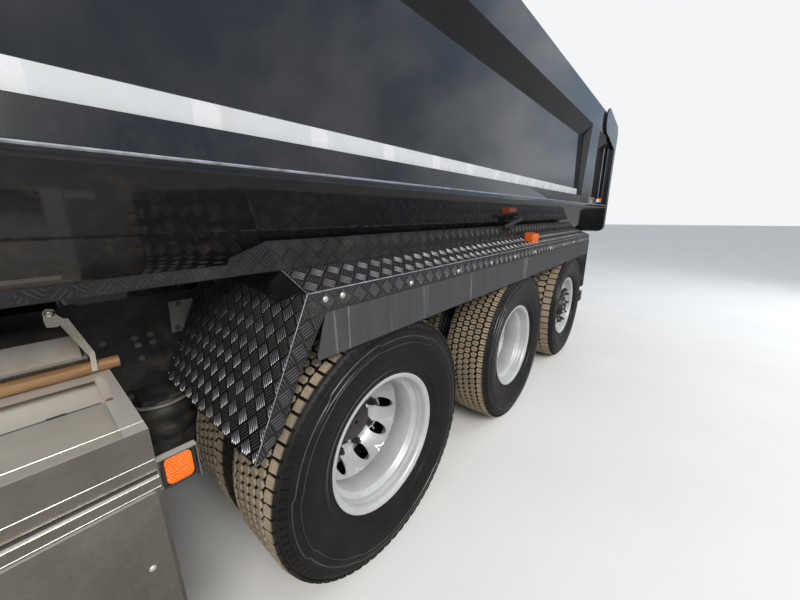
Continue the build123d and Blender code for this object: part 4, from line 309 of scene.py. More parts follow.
# Mesh helpers
class Shape:
    """Points and faces gathered from many small forms."""

    def __init__(self):
        self.points = []
        self.faces = []

    def put(self, points, faces, place=None):
        start = len(self.points)
        self.points.extend(place @ Vector(p) if place else Vector(p) for p in points)
        self.faces.extend([start + i for i in face] for face in faces)

    def mirrored(self):
        """The same forms with their copies on the other side of the vehicle."""
        both = Shape()
        both.put(self.points, self.faces)
        both.put([(p.x, -p.y, p.z) for p in self.points], [face[::-1] for face in self.faces])
        return both

    def mesh(self, name, look, sharp):
        made = bpy.data.meshes.new(name)
        made.from_pydata([tuple(p) for p in self.points], [], self.faces)
        made.materials.append(MATS[look])
        work = bmesh.new()
        work.from_mesh(made)
        bmesh.ops.remove_doubles(work, verts=work.verts, dist=0.00002)
        bmesh.ops.recalc_face_normals(work, faces=work.faces)
        work.to_mesh(made)
        work.free()
        made.shade_smooth()
        made.set_sharp_from_angle(angle=math.radians(sharp))
        return made


def piece(name, shape, body, look, sharp=35.0):
    """A Shape as an object that rides on a body."""
    thing = bpy.data.objects.new(name, shape.mesh(name, look, sharp))
    bpy.context.collection.objects.link(thing)
    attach(thing, body)


def moved(x, y, z):
    return Matrix.Translation((x, y, z))


def facing(at, direction, spin=0.0):
    """Where a form made along +Z goes, to stand at a point and face a direction."""
    turn = Vector(direction).to_track_quat("Z", "Y").to_matrix().to_4x4()
    return moved(*at) @ turn @ Matrix.Rotation(spin, 4, "Z")


def band(low, high, count):
    """Faces between two closed rings of points, which start at low and at high."""
    return [[low + n, low + (n + 1) % count, high + (n + 1) % count, high + n] for n in range(count)]


def turned(profile, sides):
    """A form turned about +Z from (radius, z) points. A radius of 0 closes an end."""
    points = []
    rings = []
    for radius, z in profile:
        if radius == 0:
            rings.append([len(points)] * sides)
            points.append((0, 0, z))
            continue
        rings.append(list(range(len(points), len(points) + sides)))
        for step in range(sides):
            angle = 2 * math.pi * step / sides
            points.append((radius * math.cos(angle), radius * math.sin(angle), z))
    faces = []
    for low, high in zip(rings, rings[1:]):
        for step in range(sides):
            after = (step + 1) % sides
            face = [low[step], low[after], high[after], high[step]]
            faces.append([i for n, i in enumerate(face) if i not in face[:n]])
    return points, faces


def block(size, bevel):
    """A box about the origin with its top edges bevelled, its base at z 0."""
    x, y, z = size[0] / 2, size[1] / 2, size[2]
    points = [(sx * side_x, sy * side_y, level)
              for side_x, side_y, level in ((x, y, 0), (x, y, z - bevel), (x - bevel, y - bevel, z))
              for sx, sy in ((-1, -1), (1, -1), (1, 1), (-1, 1))]
    return points, [[3, 2, 1, 0], [8, 9, 10, 11]] + band(0, 4, 4) + band(4, 8, 4)


def plate(shape, outline, move):
    """A flat plate between a polygon and its copy, moved by a vector."""
    count = len(outline)
    copy = [tuple(a + b for a, b in zip(point, move)) for point in outline]
    ends = [list(range(count)), list(range(2 * count - 1, count - 1, -1))]
    shape.put(outline + copy, ends + band(0, count, count))


def bead(shape, start, end, radius, sides=6):
    """A thin round bar between two points."""
    run = Vector(end) - Vector(start)
    profile = [(0, 0), (radius, 0), (radius, run.length), (0, run.length)]
    shape.put(*turned(profile, sides), facing(start, run))


HEX_BOLT = turned([(0.013, 0), (0.013, 0.0015), (0.0100, 0.0016), (0.0100, 0.0070), (0.0088, 0.0080),
                   (0, 0.0080)], 6)
STUD_NUT = turned([(0.024, 0), (0.024, 0.003), (0.0185, 0.005), (0.0185, 0.023), (0.0165, 0.026),
                   (0.0110, 0.026), (0.0110, 0.038), (0.0095, 0.040), (0, 0.040)], 6)
DOME_BOLT = turned([(0.0100, 0), (0.0098, 0.0012), (0.0085, 0.0032), (0.0060, 0.0048), (0.0030, 0.0056),
                    (0, 0.0058)], 14)


# Wheels. A wheel's pieces are made for the left side about the axle, then turned round for the
# right side, with the wheel's own centre as their origin.
def polar(radius, turn, y):
    """A point about the axle, by its turn from the top."""
    return radius * math.sin(turn), y, radius * math.cos(turn)


def hoops(count, steps):
    """Faces between rows of points, one row at each step round the axle."""
    faces = []
    for step in range(steps):
        here, there = count * step, count * ((step + 1) % steps)
        faces += [[here + n, here + n + 1, there + n + 1, there + n] for n in range(count - 1)]
    return faces


def round_profile(shape, profile, steps):
    """Profile points (y, r) turned about the axle."""
    points = [polar(r, 2 * math.pi * step / steps, y) for step in range(steps) for y, r in profile]
    shape.put(points, hoops(len(profile), steps))


# Half of a tyre's section, from the bead to the foot of the tread: distance from the tyre's
# middle and radius. Each tyre scales it to its width. The small steps are the wall's raised rings.
WALL_HALF = 0.156
WALL = (
    (0.1080, 0.286), (0.1150, 0.289), (0.1195, 0.297), (0.1235, 0.306), (0.1255, 0.307),
    (0.1265, 0.311), (0.1255, 0.315), (0.1310, 0.324), (0.1375, 0.338), (0.1395, 0.339),
    (0.1400, 0.342), (0.1395, 0.345), (0.1450, 0.362), (0.1500, 0.384), (0.1538, 0.408),
    (0.1556, 0.430), (0.1556, 0.446), (0.1568, 0.448), (0.1568, 0.452), (0.1548, 0.454),
    (0.1528, 0.468), (0.1500, 0.481), (0.1506, 0.484), (0.1500, 0.488), (0.1470, 0.490),
    (0.1440, 0.500), (0.1395, 0.509), (0.1340, 0.517), (0.1200, 0.5200),
)


def wall_y(radius, scale):
    """How far out the side wall stands at a radius."""
    for (y0, r0), (y1, r1) in zip(WALL[3:], WALL[4:]):
        if r0 <= radius <= r1:
            return scale * (y0 + (y1 - y0) * (radius - r0) / max(r1 - r0, 1e-6))
    return scale * 0.15


# Tread: foot of the grooves, bevel of the blocks, width of the shoulder and how far it drops,
# how much a block spreads at its foot
TREAD_FOOT, LUG_BEVEL, SHOULDER, SHOULDER_DROP, FOOT_SPREAD = 0.519, 0.0012, 0.034, 0.0085, 1.012


def lug(shape, outline, angle, middle, half_tread):
    """A tread block: an outline of (s along the circumference, y) points between the tread's foot
    and its crown, which drops towards the shoulders."""
    count = len(outline)
    mid_s = sum(s for s, y in outline) / count
    mid_y = sum(y for s, y in outline) / count
    points = []
    for ring in range(3):
        for s, y in outline:
            if ring == 2:
                length = math.hypot(s - mid_s, y - mid_y)
                s += (mid_s - s) * LUG_BEVEL / length
                y += (mid_y - y) * LUG_BEVEL / length
            over = max(0.0, abs(y) - half_tread + SHOULDER) / SHOULDER
            crown = TYRE_R - SHOULDER_DROP * over * over
            if ring == 0:
                y *= FOOT_SPREAD
            radius = (TREAD_FOOT, crown - LUG_BEVEL, crown)[ring]
            points.append(polar(radius, angle + s / TYRE_R, middle + y))
    top = [list(range(2 * count, 3 * count))]
    shape.put(points, top + band(0, count, count) + band(count, 2 * count, count))


def hexagon(y, width, length, zigzag, sipe):
    """A tread block's outline with toothed sides, whole or as two halves with a sipe between."""
    half, end = width / 2, length / 2
    low, low_tip = y - half + zigzag, y - half - zigzag
    high, high_tip = y + half - zigzag, y + half + zigzag
    if not sipe:
        return [[(-end, low), (0, low_tip), (end, low), (end, high), (0, high_tip), (-end, high)]]
    return [[(-end, low), (-sipe, low_tip), (-sipe, high_tip), (-end, high)],
            [(sipe, low_tip), (end, low), (end, high), (sipe, high_tip)]]


# Tread columns: distance from the middle, width, block length, pitches round the tyre, how far
# the sides are toothed, half the sipe's width, share of a pitch by which the column is shifted
TREADS = {
    "drive_1": (
        (-0.1165, 0.034, 0.0365, 72, 0.001, 0.0, 0.0), (-0.0665, 0.0310, 0.0245, 100, 0.0045, 0.0, 0.5),
        (-0.022, 0.0300, 0.0245, 100, 0.0045, 0.0, 0.0), (0.022, 0.0300, 0.0245, 100, 0.0045, 0.0, 0.5),
        (0.0665, 0.0310, 0.0245, 100, 0.0045, 0.0, 0.0), (0.1165, 0.034, 0.0365, 72, 0.001, 0.0, 0.5),
    ),
    "drive_2": (
        (-0.1160, 0.0345, 0.0290, 92, 0.003, 0.0015, 0.5), (-0.067, 0.0325, 0.0290, 92, 0.0055, 0.0015, 0.0),
        (-0.022, 0.0315, 0.0290, 92, 0.0055, 0.0015, 0.5), (0.022, 0.0315, 0.0290, 92, 0.0055, 0.0015, 0.0),
        (0.067, 0.0325, 0.0290, 92, 0.0055, 0.0015, 0.5), (0.1160, 0.0345, 0.0290, 92, 0.003, 0.0015, 0.0),
    ),
    "tag": (
        (-0.122, 0.070, 0.0520, 54, 0.003, 0.0, 0.5), (-0.040, 0.070, 0.0500, 54, 0.012, 0.0, 0.0),
        (0.040, 0.070, 0.0500, 54, 0.012, 0.0, 0.5), (0.122, 0.070, 0.0520, 54, 0.003, 0.0, 0.0),
    ),
    "front": tuple((y, 0.044, 0.0455, 72, 0.002, 0.0, 0.0) for y in (-0.108, -0.054, 0.0, 0.054, 0.108)),
}


# Half the tread's width, and steps round a wheel for the tyre, the rim, the ribs and the lines
TAG_HALF_TREAD, HALF_TREAD = 0.160, 0.134
TYRE_STEPS, RIM_STEPS, RIBS, LINE_STEPS, LINE_WAVES = 112, 100, 96, 240, 5


def tyre_form(shape, marks, tread, middle, half_width):
    scale = half_width / WALL_HALF
    half_tread = TAG_HALF_TREAD if tread == "tag" else HALF_TREAD
    outer = [(middle + scale * y, r) for y, r in WALL]
    inner = [(middle - scale * y, r) for y, r in reversed(WALL)]
    round_profile(shape, outer + inner + outer[:1], TYRE_STEPS)
    for y, width, length, pitches, zigzag, sipe, shift in TREADS[tread]:
        for index in range(pitches):
            angle = 2 * math.pi * (index + shift) / pitches
            for outline in hexagon(y, width, length, zigzag, sipe):
                lug(shape, outline, angle, middle, half_tread)
    for side in (1, -1):
        # Short ribs below the shoulder, and a raised line round the wall that steps in and out
        for index in range(RIBS):
            angle = 2 * math.pi * index / RIBS
            points = [polar(radius, angle + spread / radius, middle + side * (wall_y(radius, scale) + lift))
                      for radius, lift in ((0.491, 0.0), (0.4935, 0.0034), (0.509, 0.0036), (0.5125, 0.0))
                      for spread in (-0.0024, 0.0024)]
            shape.put(points, [[0, 1, 3, 2], [2, 3, 5, 4], [4, 5, 7, 6]])
        for base_r, step_r, width in ((0.436, 0.007, 0.0016), (0.463, 0.009, 0.0026)):
            points = []
            for index in range(LINE_STEPS):
                share = (index / LINE_STEPS * LINE_WAVES) % 1
                level_r = base_r + step_r * (min(1.0, max(0.0, (share - 0.10) / 0.02))
                                             - min(1.0, max(0.0, (share - 0.55) / 0.02)))
                for offset, lift in ((-width, 0.0), (0.0, 0.0026), (width, 0.0)):
                    radius = level_r + offset
                    y = middle + side * (wall_y(radius, scale) + lift)
                    points.append(polar(radius, 2 * math.pi * index / LINE_STEPS, y))
            marks.put(points, hoops(3, LINE_STEPS))


# Half of a rim's section, as distance from the rim's edge and radius: well, slope, the steps of
# the rolled steel and the lip, then back on the tyre's side
RIM = (
    (-0.066, 0.2430), (-0.062, 0.2455), (-0.050, 0.2600), (-0.046, 0.2640), (-0.040, 0.2655),
    (-0.030, 0.2660), (-0.027, 0.2685), (-0.012, 0.2700), (-0.004, 0.2715), (0.002, 0.2745),
    (0.006, 0.2790), (0.0085, 0.2850), (0.0110, 0.2900), (0.0120, 0.2935), (0.0105, 0.2965),
    (0.0070, 0.2970), (0.0035, 0.2945), (0.0005, 0.2890), (-0.002, 0.2850), (-0.045, 0.2840),
    (-0.060, 0.2520),
)
# Hand holes: how many, radius, circle of their centres, half the width of the ring that holds
# them, share of a pitch by which they are turned back from the top
HOLES, HOLE_R, HOLE_CIRCLE, HOLE_REACH, HOLE_TURN = 10, 0.0285, 0.214, 0.034, 0.6
HOLE_SHARES = (0.0, 0.06, 0.35, 0.7, 1.0)
DISC_IN_R, DISC_CURVE = 0.139, 1.6


def hole_turn(hole):
    return 2 * math.pi * (hole - HOLE_TURN) / HOLES


def disc_form(shape, flat, edge, thick):
    """A disc with a ring of hand holes, from sectors between each hole and the sector's sides."""
    start_r, end_r = HOLE_CIRCLE - HOLE_REACH, HOLE_CIRCLE + HOLE_REACH

    def disc_point(centre, angle, length, side):
        """A point by its way from a hole's centre. The disc is level out to the bolts, then
        curves to the rim's well."""
        radius = HOLE_CIRCLE + length * math.sin(angle)
        share = (radius - start_r) / (end_r - start_r)
        y = flat + (edge - flat) * max(0.0, share) ** DISC_CURVE + side
        return polar(radius, centre + length * math.cos(angle) / HOLE_CIRCLE, y)

    half_u = math.pi / HOLES * HOLE_CIRCLE
    corner = math.atan2(HOLE_REACH, half_u)
    angles = []
    for start, end in ((-corner, corner), (corner, math.pi - corner), (math.pi - corner, math.pi + corner),
                       (math.pi + corner, 2 * math.pi - corner)):
        count = 5 if end - start < 1.2 else 9
        angles += [start + (end - start) * n / count for n in range(count)]
    count = len(angles)
    for side in (0.0, thick):
        for hole in range(HOLES):
            points = []
            for share in HOLE_SHARES:
                for angle in angles:
                    reach = min(half_u / max(abs(math.cos(angle)), 1e-9),
                                HOLE_REACH / max(abs(math.sin(angle)), 1e-9))
                    length = HOLE_R + (reach - HOLE_R) * share
                    points.append(disc_point(hole_turn(hole), angle, length, side))
            faces = []
            for ring in range(len(HOLE_SHARES) - 1):
                faces += band(ring * count, (ring + 1) * count, count)
            shape.put(points, faces)
    for hole in range(HOLES):
        points = [disc_point(hole_turn(hole), angle, HOLE_R, side)
                  for side in (0.0, thick) for angle in angles]
        shape.put(points, band(0, count, count))
    for side in (0.0, thick):
        round_profile(shape, [(flat + side, DISC_IN_R), (flat + side, start_r)], RIM_STEPS)


def rim_form(shape, middle, half, flat, edge, thick):
    """A rim with its disc. flat and edge are the disc's outer face at the hub and at the well."""
    outward = [(half + y, r) for y, r in RIM]
    whole = [(middle + y, r) for y, r in outward]
    whole += [(middle - y, r) for y, r in reversed(outward)] + whole[:1]
    round_profile(shape, whole, RIM_STEPS)
    disc_form(shape, flat, edge, thick)
    round_profile(shape, [(edge, 0.248), (edge, 0.2455)], RIM_STEPS)


def wheel_piece(name, mesh, station, replaced=None):
    """A wheel's mesh at its axle, turned round for the right side."""
    axle, side = station.rsplit("_", 1)
    thing = bpy.data.objects.new(name, mesh)
    thing.matrix_world = moved(AXLE_X[axle], 0, TYRE_R) @ Matrix.Rotation(
        0.0 if side == "left" else math.pi, 4, "Z")
    bpy.context.collection.objects.link(thing)
    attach(thing, "wheel_" + station)
    if replaced:
        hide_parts(replaced)


DUAL_HUB = ((0.660, 0.055), (0.660, 0.200), (0.666, 0.205), (0.868, 0.205), (0.875, 0.200), (0.895, 0.146),
            (0.900, 0.140), (0.962, 0.140), (0.969, 0.135), (0.970, 0.104), (0.987, 0.100), (1.008, 0.092),
            (1.019, 0.086), (1.025, 0.072), (1.025, 0.034), (1.029, 0.032), (1.029, 0.010))
TAG_HUB = ((1.102, 0.05), (1.102, 0.105), (1.188, 0.105), (1.194, 0.100), (1.214, 0.090), (1.220, 0.084),
           (1.222, 0.060), (1.222, 0.010))
FRONT_HUB = ((1.090, 0.05), (1.090, 0.105), (1.176, 0.105), (1.182, 0.100), (1.202, 0.090), (1.208, 0.084),
             (1.210, 0.060), (1.210, 0.010))
# Per axle: its tyres (middle, disc face at the hub and at the well, disc thickness), half a
# tyre's width, half a rim's width, hub section, face under the nuts, bolt circle and face of
# the hub's end
DUAL = (((1.110, 0.949, 1.062, -0.014), (0.760, 0.921, 0.806, 0.014)), 0.156, 0.1145, DUAL_HUB, 0.949,
        (0.120, 0.969))
WHEELS = {
    "drive_1": DUAL,
    "drive_2": DUAL,
    "tag": (((1.062, 1.182, 1.158, -0.014),), 0.1925, 0.149, TAG_HUB, 1.182, (0.070, 1.222)),
    "front": (((1.040, 1.170, 1.110, -0.014),), 0.156, 0.1145, FRONT_HUB, 1.170, (0.070, 1.210)),
}
NUTS, NUT_CIRCLE, CAP_BOLTS, HUB_STEPS = 10, 0.1675, 8, 56
VALVE_CIRCLE, VALVE_R, VALVE_HALF = 0.212, 0.0042, 0.030
for axle, (rows, half_width, rim_half, hub_profile, nut_face, (cap_circle, cap_face)) in WHEELS.items():
    rubber, marks, steel, hub, studs = (Shape() for n in range(5))
    for middle, flat, edge, thick in rows:
        tyre_form(rubber, marks, axle, middle, half_width)
        rim_form(steel, middle, rim_half, flat, edge, thick)
    # Pale valve tubes just inside two of the hand holes
    for hole, tilt in ((-2, 0.35), (-3, -0.5)):
        angle = hole_turn(hole)
        centre = Vector(polar(VALVE_CIRCLE, angle, rows[0][1] + 0.010))
        along = Vector((math.cos(angle + tilt), 0, -math.sin(angle + tilt))) * VALVE_HALF
        bead(steel, centre - along, centre + along, VALVE_R, 10)
        if tilt < 0:
            bead(steel, centre, centre + Vector((-along.z, 0.004, along.x)), VALVE_R, 10)
    round_profile(hub, hub_profile, HUB_STEPS)
    for index in range(NUTS):
        angle = 2 * math.pi * (index + 0.5) / NUTS
        hub.put(*STUD_NUT, facing(polar(NUT_CIRCLE, angle, nut_face), OUT, angle))
    for index in range(CAP_BOLTS):
        angle = 2 * math.pi * index / CAP_BOLTS
        studs.put(*HEX_BOLT, facing(polar(cap_circle, angle, cap_face), OUT, angle))
    rubber_mesh = rubber.mesh("tyre_" + axle, "tyre_rubber", 30.0)
    marks_mesh = marks.mesh("tyre_lines_" + axle, "worn_rubber", 60.0)
    steel_mesh = steel.mesh("rim_" + axle, "rim_silver", 40.0)
    hub_mesh = hub.mesh("hub_" + axle, "hub_grey", 35.0)
    stud_mesh = studs.mesh("hub_bolts_" + axle, "bolt_steel", 35.0)
    for side in ("left", "right"):
        station = axle + "_" + side
        wheel_piece("tyre_look_" + station, rubber_mesh, station, "tyre_" + station)
        wheel_piece("tyre_lines_" + station, marks_mesh, station)
        wheel_piece("rim_look_" + station, steel_mesh, station, "rim_" + station)
        wheel_piece("hub_look_" + station, hub_mesh, station)
        wheel_piece("hub_bolts_" + station, stud_mesh, station)


# Tread plate: short raised bars in a basket weave whose cells stand at 45 degrees to the edges
CELL, BAR_PITCH, BAR_WIDE, BAR_HIGH, BAR_GAP = 0.046, 0.0086, 0.0046, 0.0017, 0.0022
# A bar is tried out in steps along its line, and left out if too few of them fit
BAR_STEP, HALF_STEPS, LEAST_STEPS = 0.0015, 13, 5
ROOT = math.sqrt(0.5)


def within(u, v, outline, margin):
    """Whether a point is in a polygon and no nearer than the margin to its edges."""
    odd = False
    for (u0, v0), (u1, v1) in zip(outline, outline[1:] + outline[:1]):
        du, dv = u1 - u0, v1 - v0
        share = min(1.0, max(0.0, ((u - u0) * du + (v - v0) * dv) / (du * du + dv * dv)))
        if math.hypot(u - u0 - share * du, v - v0 - share * dv) < margin:
            return False
        if (v0 > v) != (v1 > v) and u < u0 + (v - v0) * du / dv:
            odd = not odd
    return odd


def plate_bars(shape, at, along, across, outline):
    """Bars over a polygon of (u, v) points on the plane through at, along two unit vectors."""
    at, along, across = Vector(at), Vector(along).normalized(), Vector(across).normalized()
    normal = along.cross(across)
    low = [min(p[n] for p in outline) for n in (0, 1)]
    high = [max(p[n] for p in outline) for n in (0, 1)]
    reach = int((high[0] - low[0] + high[1] - low[1]) / CELL) + 4
    start_i = int((low[0] + low[1]) * ROOT / CELL) - 2
    start_j = int((low[0] - high[1]) * ROOT / CELL) - 2
    for i in range(start_i, start_i + reach):
        for j in range(start_j, start_j + reach):
            mid_u = (i + j) * CELL * ROOT
            mid_v = (i - j) * CELL * ROOT
            if not (low[0] - CELL < mid_u < high[0] + CELL and low[1] - CELL < mid_v < high[1] + CELL):
                continue
            turn = ROOT if (i + j) % 2 == 0 else -ROOT
            for bar in range(-2, 3):
                u = mid_u - bar * BAR_PITCH * turn
                v = mid_v + bar * BAR_PITCH * ROOT
                kept = [s for s in (n * BAR_STEP for n in range(-HALF_STEPS, HALF_STEPS + 1))
                        if within(u + s * ROOT, v + s * turn, outline, BAR_GAP)]
                if len(kept) < LEAST_STEPS:
                    continue
                length = kept[-1] - kept[0]
                middle = (kept[-1] + kept[0]) / 2
                tip = min(BAR_WIDE, length * 0.4)
                points = []
                for scale, lift in ((1.0, 0.0), (0.55, BAR_HIGH)):
                    for s, w in ((-length / 2, 0), (-length / 2 + tip, -1), (length / 2 - tip, -1),
                                 (length / 2, 0), (length / 2 - tip, 1), (-length / 2 + tip, 1)):
                        s = middle + s * (1.0 if lift == 0 else 0.93)
                        w *= BAR_WIDE / 2 * scale
                        points.append(at + along * (u + s * ROOT - w * turn)
                                      + across * (v + s * turn + w * ROOT) + normal * lift)
                shape.put(points, [[6, 7, 8, 9, 10, 11]] + band(0, 6, 6))


bars = Shape()
bars_in_painted_shade = Shape()
LIP_CORNER = (FENDER_FRONT, FENDER_Y, FENDER_Z)
FOOT_CORNER = (FENDER_FRONT, UPSTAND_Y, UPSTAND_FOOT)
TOP_RUN = math.hypot(FENDER_Y - UPSTAND_Y, UPSTAND_FOOT - FENDER_Z)
FENDER_LONG = FENDER_FRONT - FENDER_REAR
LIP_HALF = 0.033
# Sloped top plate, lip, upstand with its strip, sloped front panel, flange at its outer edge
plate_bars(bars, LIP_CORNER, BACK, (0, UPSTAND_Y - FENDER_Y, UPSTAND_FOOT - FENDER_Z),
           [(0, 0), (FENDER_LONG, 0), (FENDER_LONG, TOP_RUN), (0, TOP_RUN)])
plate_bars(bars, (FENDER_FRONT, FENDER_Y, (FENDER_Z + LIP_Z) / 2), BACK, UP,
           [(0.006, -LIP_HALF), (FENDER_LONG, -LIP_HALF), (FENDER_LONG, LIP_HALF), (0.006, LIP_HALF)])
plate_bars(bars_in_painted_shade, FOOT_CORNER, BACK, UP,
           [(-0.148, 0.0), (-0.148, 0.032), (-0.143, 0.049), (-0.038, 0.087), (3.192, 0.087),
            (3.522, 0.003), (3.522, 0)])
plate_bars(bars_in_painted_shade, FOOT_CORNER, BACK, UP,
           [(-0.52, 0.0), (-0.148, 0.0), (-0.148, 0.032), (-0.52, 0.032)])
SLOPE_RUN = math.hypot(SLOPE_FOOT_X - FENDER_FRONT, FENDER_Z - SLOPE_FOOT_Z)
DOWN = Vector((SLOPE_FOOT_X - FENDER_FRONT, 0, SLOPE_FOOT_Z - FENDER_Z)).normalized()
plate_bars(bars, LIP_CORNER, DOWN, OUT,
           [(0, 0), (SLOPE_RUN, 0), (SLOPE_RUN, SLOPE_IN_Y - FENDER_Y), (0, SLOPE_IN_Y - FENDER_Y)])
plate_bars(bars, LIP_CORNER, DOWN, (DOWN.z, 0, -DOWN.x),
           [(0, 0), (0.035, 0.0797), (0.246, 0.0551), (0.391, 0.0557), (0.466, 0.0181), (0.474, 0)])
piece("tread_bars", bars.mirrored(), "chassis", "bar_worn", 25.0)
# The bars on the upstand and its strip, under the body, take the darker copy of the bar material: painted
# shade
piece("upstand_bars", bars_in_painted_shade.mirrored(), "chassis", "bar_painted_shade", 25.0)

# Plate that closes the fender's front above the sloped panel, up to the body's underside
PANEL_LEAN = 0.471
closing = Shape()
outline = [(0.620, 1.190), (1.140, 1.190), (1.270, 1.251), (1.147, 1.305), (1.030, 1.298), (0.920, 1.268),
           (0.620, 1.264)]
plate(closing, [(FENDER_FRONT + max(0.0, FENDER_Z - z) * PANEL_LEAN - 0.002, y, z) for y, z in outline],
      (-0.003, 0, 0))
piece("fender_closing_plate", closing.mirrored(), "chassis", "tread_plate")

# Bright folds of the fender, a painted highlight in pale bluish metal, and the domed bolts that hold the
# skirt to the lip
folds = Shape()
bead(folds, LIP_CORNER, (SLOPE_FOOT_X, FENDER_Y, SLOPE_FOOT_Z), 0.0016)
bead(folds, LIP_CORNER, (FENDER_REAR, FENDER_Y, FENDER_Z), 0.0022)
bead(folds, LIP_CORNER, FOOT_CORNER, 0.0014)
piece("fender_folds", folds.mirrored(), "chassis", "edge_highlight_paint")
lip_bolts = Shape()
for x, z in ((-0.146, 1.227), (-0.210, 1.227), *((x, 1.211) for x in (
        -0.549, -0.901, -1.250, -1.590, -1.936, -2.304, -2.675, -3.020, -3.370))):
    lip_bolts.put(*DOME_BOLT, facing((x, FENDER_Y, z), OUT))
piece("lip_bolts", lip_bolts.mirrored(), "chassis", "bolt_steel")

# Small dark block on the upstand's top, and the fender marker lamp's dark base
latch = Shape()
latch.put(*block((0.060, 0.026, 0.022), 0.003), moved(-1.73, UPSTAND_Y + 0.016, 1.372))
latch.put(*block((0.150, 0.030, 0.016), 0.003), moved(-2.035, 1.172, 1.296))
piece("fender_blocks", latch.mirrored(), "chassis", "rubber_seal")

# Reflective tape along the body's sides
TAPE_Y, TAPE_LOW, TAPE_HIGH, TAPE_REAR, TAPE_FRONT = 1.1903, 1.656, 1.708, -3.255, 1.750
tape_strips = Shape()
outline = [(TAPE_REAR, TAPE_LOW), (TAPE_FRONT, TAPE_LOW), (TAPE_FRONT, TAPE_HIGH), (TAPE_REAR, TAPE_HIGH)]
tape_strips.put([(x, y, z) for y in (TAPE_Y, TAPE_Y + 0.0005) for x, z in outline],
                [[4, 5, 6, 7]] + band(0, 4, 4))
piece("tape_strips", tape_strips.mirrored(), "dump_body", "tape")

# Painted highlight along the edge of the side's ledge, small lamps on its rear end, dark bar under it
LEDGE_Y, LEDGE_Z = 1.275, 1.570
ledge = Shape()
bead(ledge, (-4.400, LEDGE_Y - 0.0015, LEDGE_Z), (1.780, LEDGE_Y - 0.0015, LEDGE_Z), 0.0035)
piece("ledge_edge", ledge.mirrored(), "dump_body", "edge_highlight_paint")
for name, look, high, x, z in (("side_lamps_amber", "lamp_amber", 0.044, -4.130, 1.606),
                               ("side_lamps_clear", "lamp_clear", 0.034, -4.030, 1.602)):
    side_lamp = Shape()
    side_lamp.put(*block((0.040, 0.024, high), 0.004), moved(x, 1.246, z))
    piece(name, side_lamp.mirrored(), "dump_body", look)
side_bar = Shape()
bead(side_bar, (-1.840, 1.196, 1.437), (-1.600, 1.180, 1.385), 0.014, 12)
piece("side_bars", side_bar.mirrored(), "dump_body", "rubber_seal")

# Frame rails: bolts seen in the photo, rows of bolts further along, consoles and their bolts
CONSOLES = (-0.010, 0.950, 1.900)
CONSOLE_FOOT_Y, CONSOLE_FACE_Y = RAIL_Y + 0.0082, RAIL_Y + 0.0112
rail_bolts = Shape()
for x, z in ((0.269, 0.986), (0.168, 0.980), (0.116, 0.982), (0.163, 0.948), (0.112, 0.946), (0.160, 0.888)):
    rail_bolts.put(*HEX_BOLT, facing((x, RAIL_Y, z), OUT, 0.3))
for x in (0.62, 0.70, 1.18, 1.26, 1.58, 2.20, 2.28, 2.52, 2.88, 2.96, 3.42, 3.50,
          -1.05, -1.13, -1.21, -2.48, -2.56, -3.55, -3.63):
    for z in (0.975, 0.905, 0.835):
        rail_bolts.put(*HEX_BOLT, facing((x, RAIL_Y, z), OUT, x))
console = Shape()
for x in CONSOLES:
    for dx, z in ((0.008, 1.092), (0.026, 0.988)):
        rail_bolts.put(*HEX_BOLT, facing((x + dx, CONSOLE_FACE_Y, z), OUT, dx))
    outline = [(x - 0.052, 1.108), (x + 0.044, 1.108), (x + 0.050, 0.970), (x + 0.008, 0.970)]
    console.put([(px, y, pz) for y in (CONSOLE_FOOT_Y, CONSOLE_FACE_Y) for px, pz in outline],
                [[4, 5, 6, 7]] + band(0, 4, 4))
piece("rail_bolts", rail_bolts.mirrored(), "chassis", "bolt_dirty")
piece("console_plates", console.mirrored(), "chassis", "galvanised")

# Air bellows beside the drive axles: pale rings at their ends, rubber folds between
BELLOWS_Y, BELLOWS_X, RING_IN_R = 0.470, 0.590, 0.104
rings = Shape()
bellows = Shape()
profile = [(0.100, 0.505)]
for z in (0.520 + n * 0.068 for n in range(3)):
    profile += [(0.106, z), (0.114, z + 0.014), (0.1165, z + 0.030), (0.114, z + 0.046), (0.106, z + 0.060)]
profile += [(0.100, 0.728)]
for x in (AXLE_X[axle] + dx for axle in ("drive_1", "drive_2") for dx in (-BELLOWS_X, BELLOWS_X)):
    for z, radius in ((0.735, 0.116), (0.492, 0.112)):
        rings.put(*turned([(RING_IN_R, 0), (radius, 0), (radius + 0.002, 0.002), (radius + 0.002, 0.006),
                           (radius, 0.008), (RING_IN_R, 0.008)], 40), moved(x, BELLOWS_Y, z))
    bellows.put(*turned(profile, 40), moved(x, BELLOWS_Y, 0))
piece("bellows_rings", rings.mirrored(), "chassis", "galvanised")
piece("bellows_folds", bellows.mirrored(), "chassis", "bellows_rubber")

# Toolbox: beads, dark seams, rivets, rust-stained hole, tool stay, bezel and lens of its lamp
DOOR_Y, BOX_REAR, BOX_FRONT = 1.262, 0.306, 1.604
box_lines = Shape()
for z in (0.9205, 0.8975):
    bead(box_lines, (BOX_REAR, DOOR_Y - 0.0005, z), (BOX_FRONT, DOOR_Y - 0.0005, z), 0.0012)
bead(box_lines, (0.308, DOOR_Y, 0.353), (0.308, DOOR_Y, 0.887), 0.0010)
for y, z, radius in ((DOOR_Y - 0.001, 0.966, 0.0016), (DOOR_Y - 0.0405, 1.0395, 0.0012)):
    bead(box_lines, (BOX_REAR, y, z), (BOX_FRONT, y, z), radius)
piece("toolbox_lines", box_lines, "chassis", "toolbox_steel")
seams = Shape()
bead(seams, (BOX_REAR, 1.2485, 0.9235), (BOX_FRONT, 1.2485, 0.9235), 0.0032, 8)
bead(seams, (0.345, 0.935, 0.9862), (1.565, 0.935, 0.9862), 0.0014)
seams.put(*block((0.036, 0.006, 0.002), 0.0005), moved(0.4275, 0.935, 0.9868))
piece("toolbox_seams", seams, "chassis", "rubber_seal")
rivets = Shape()
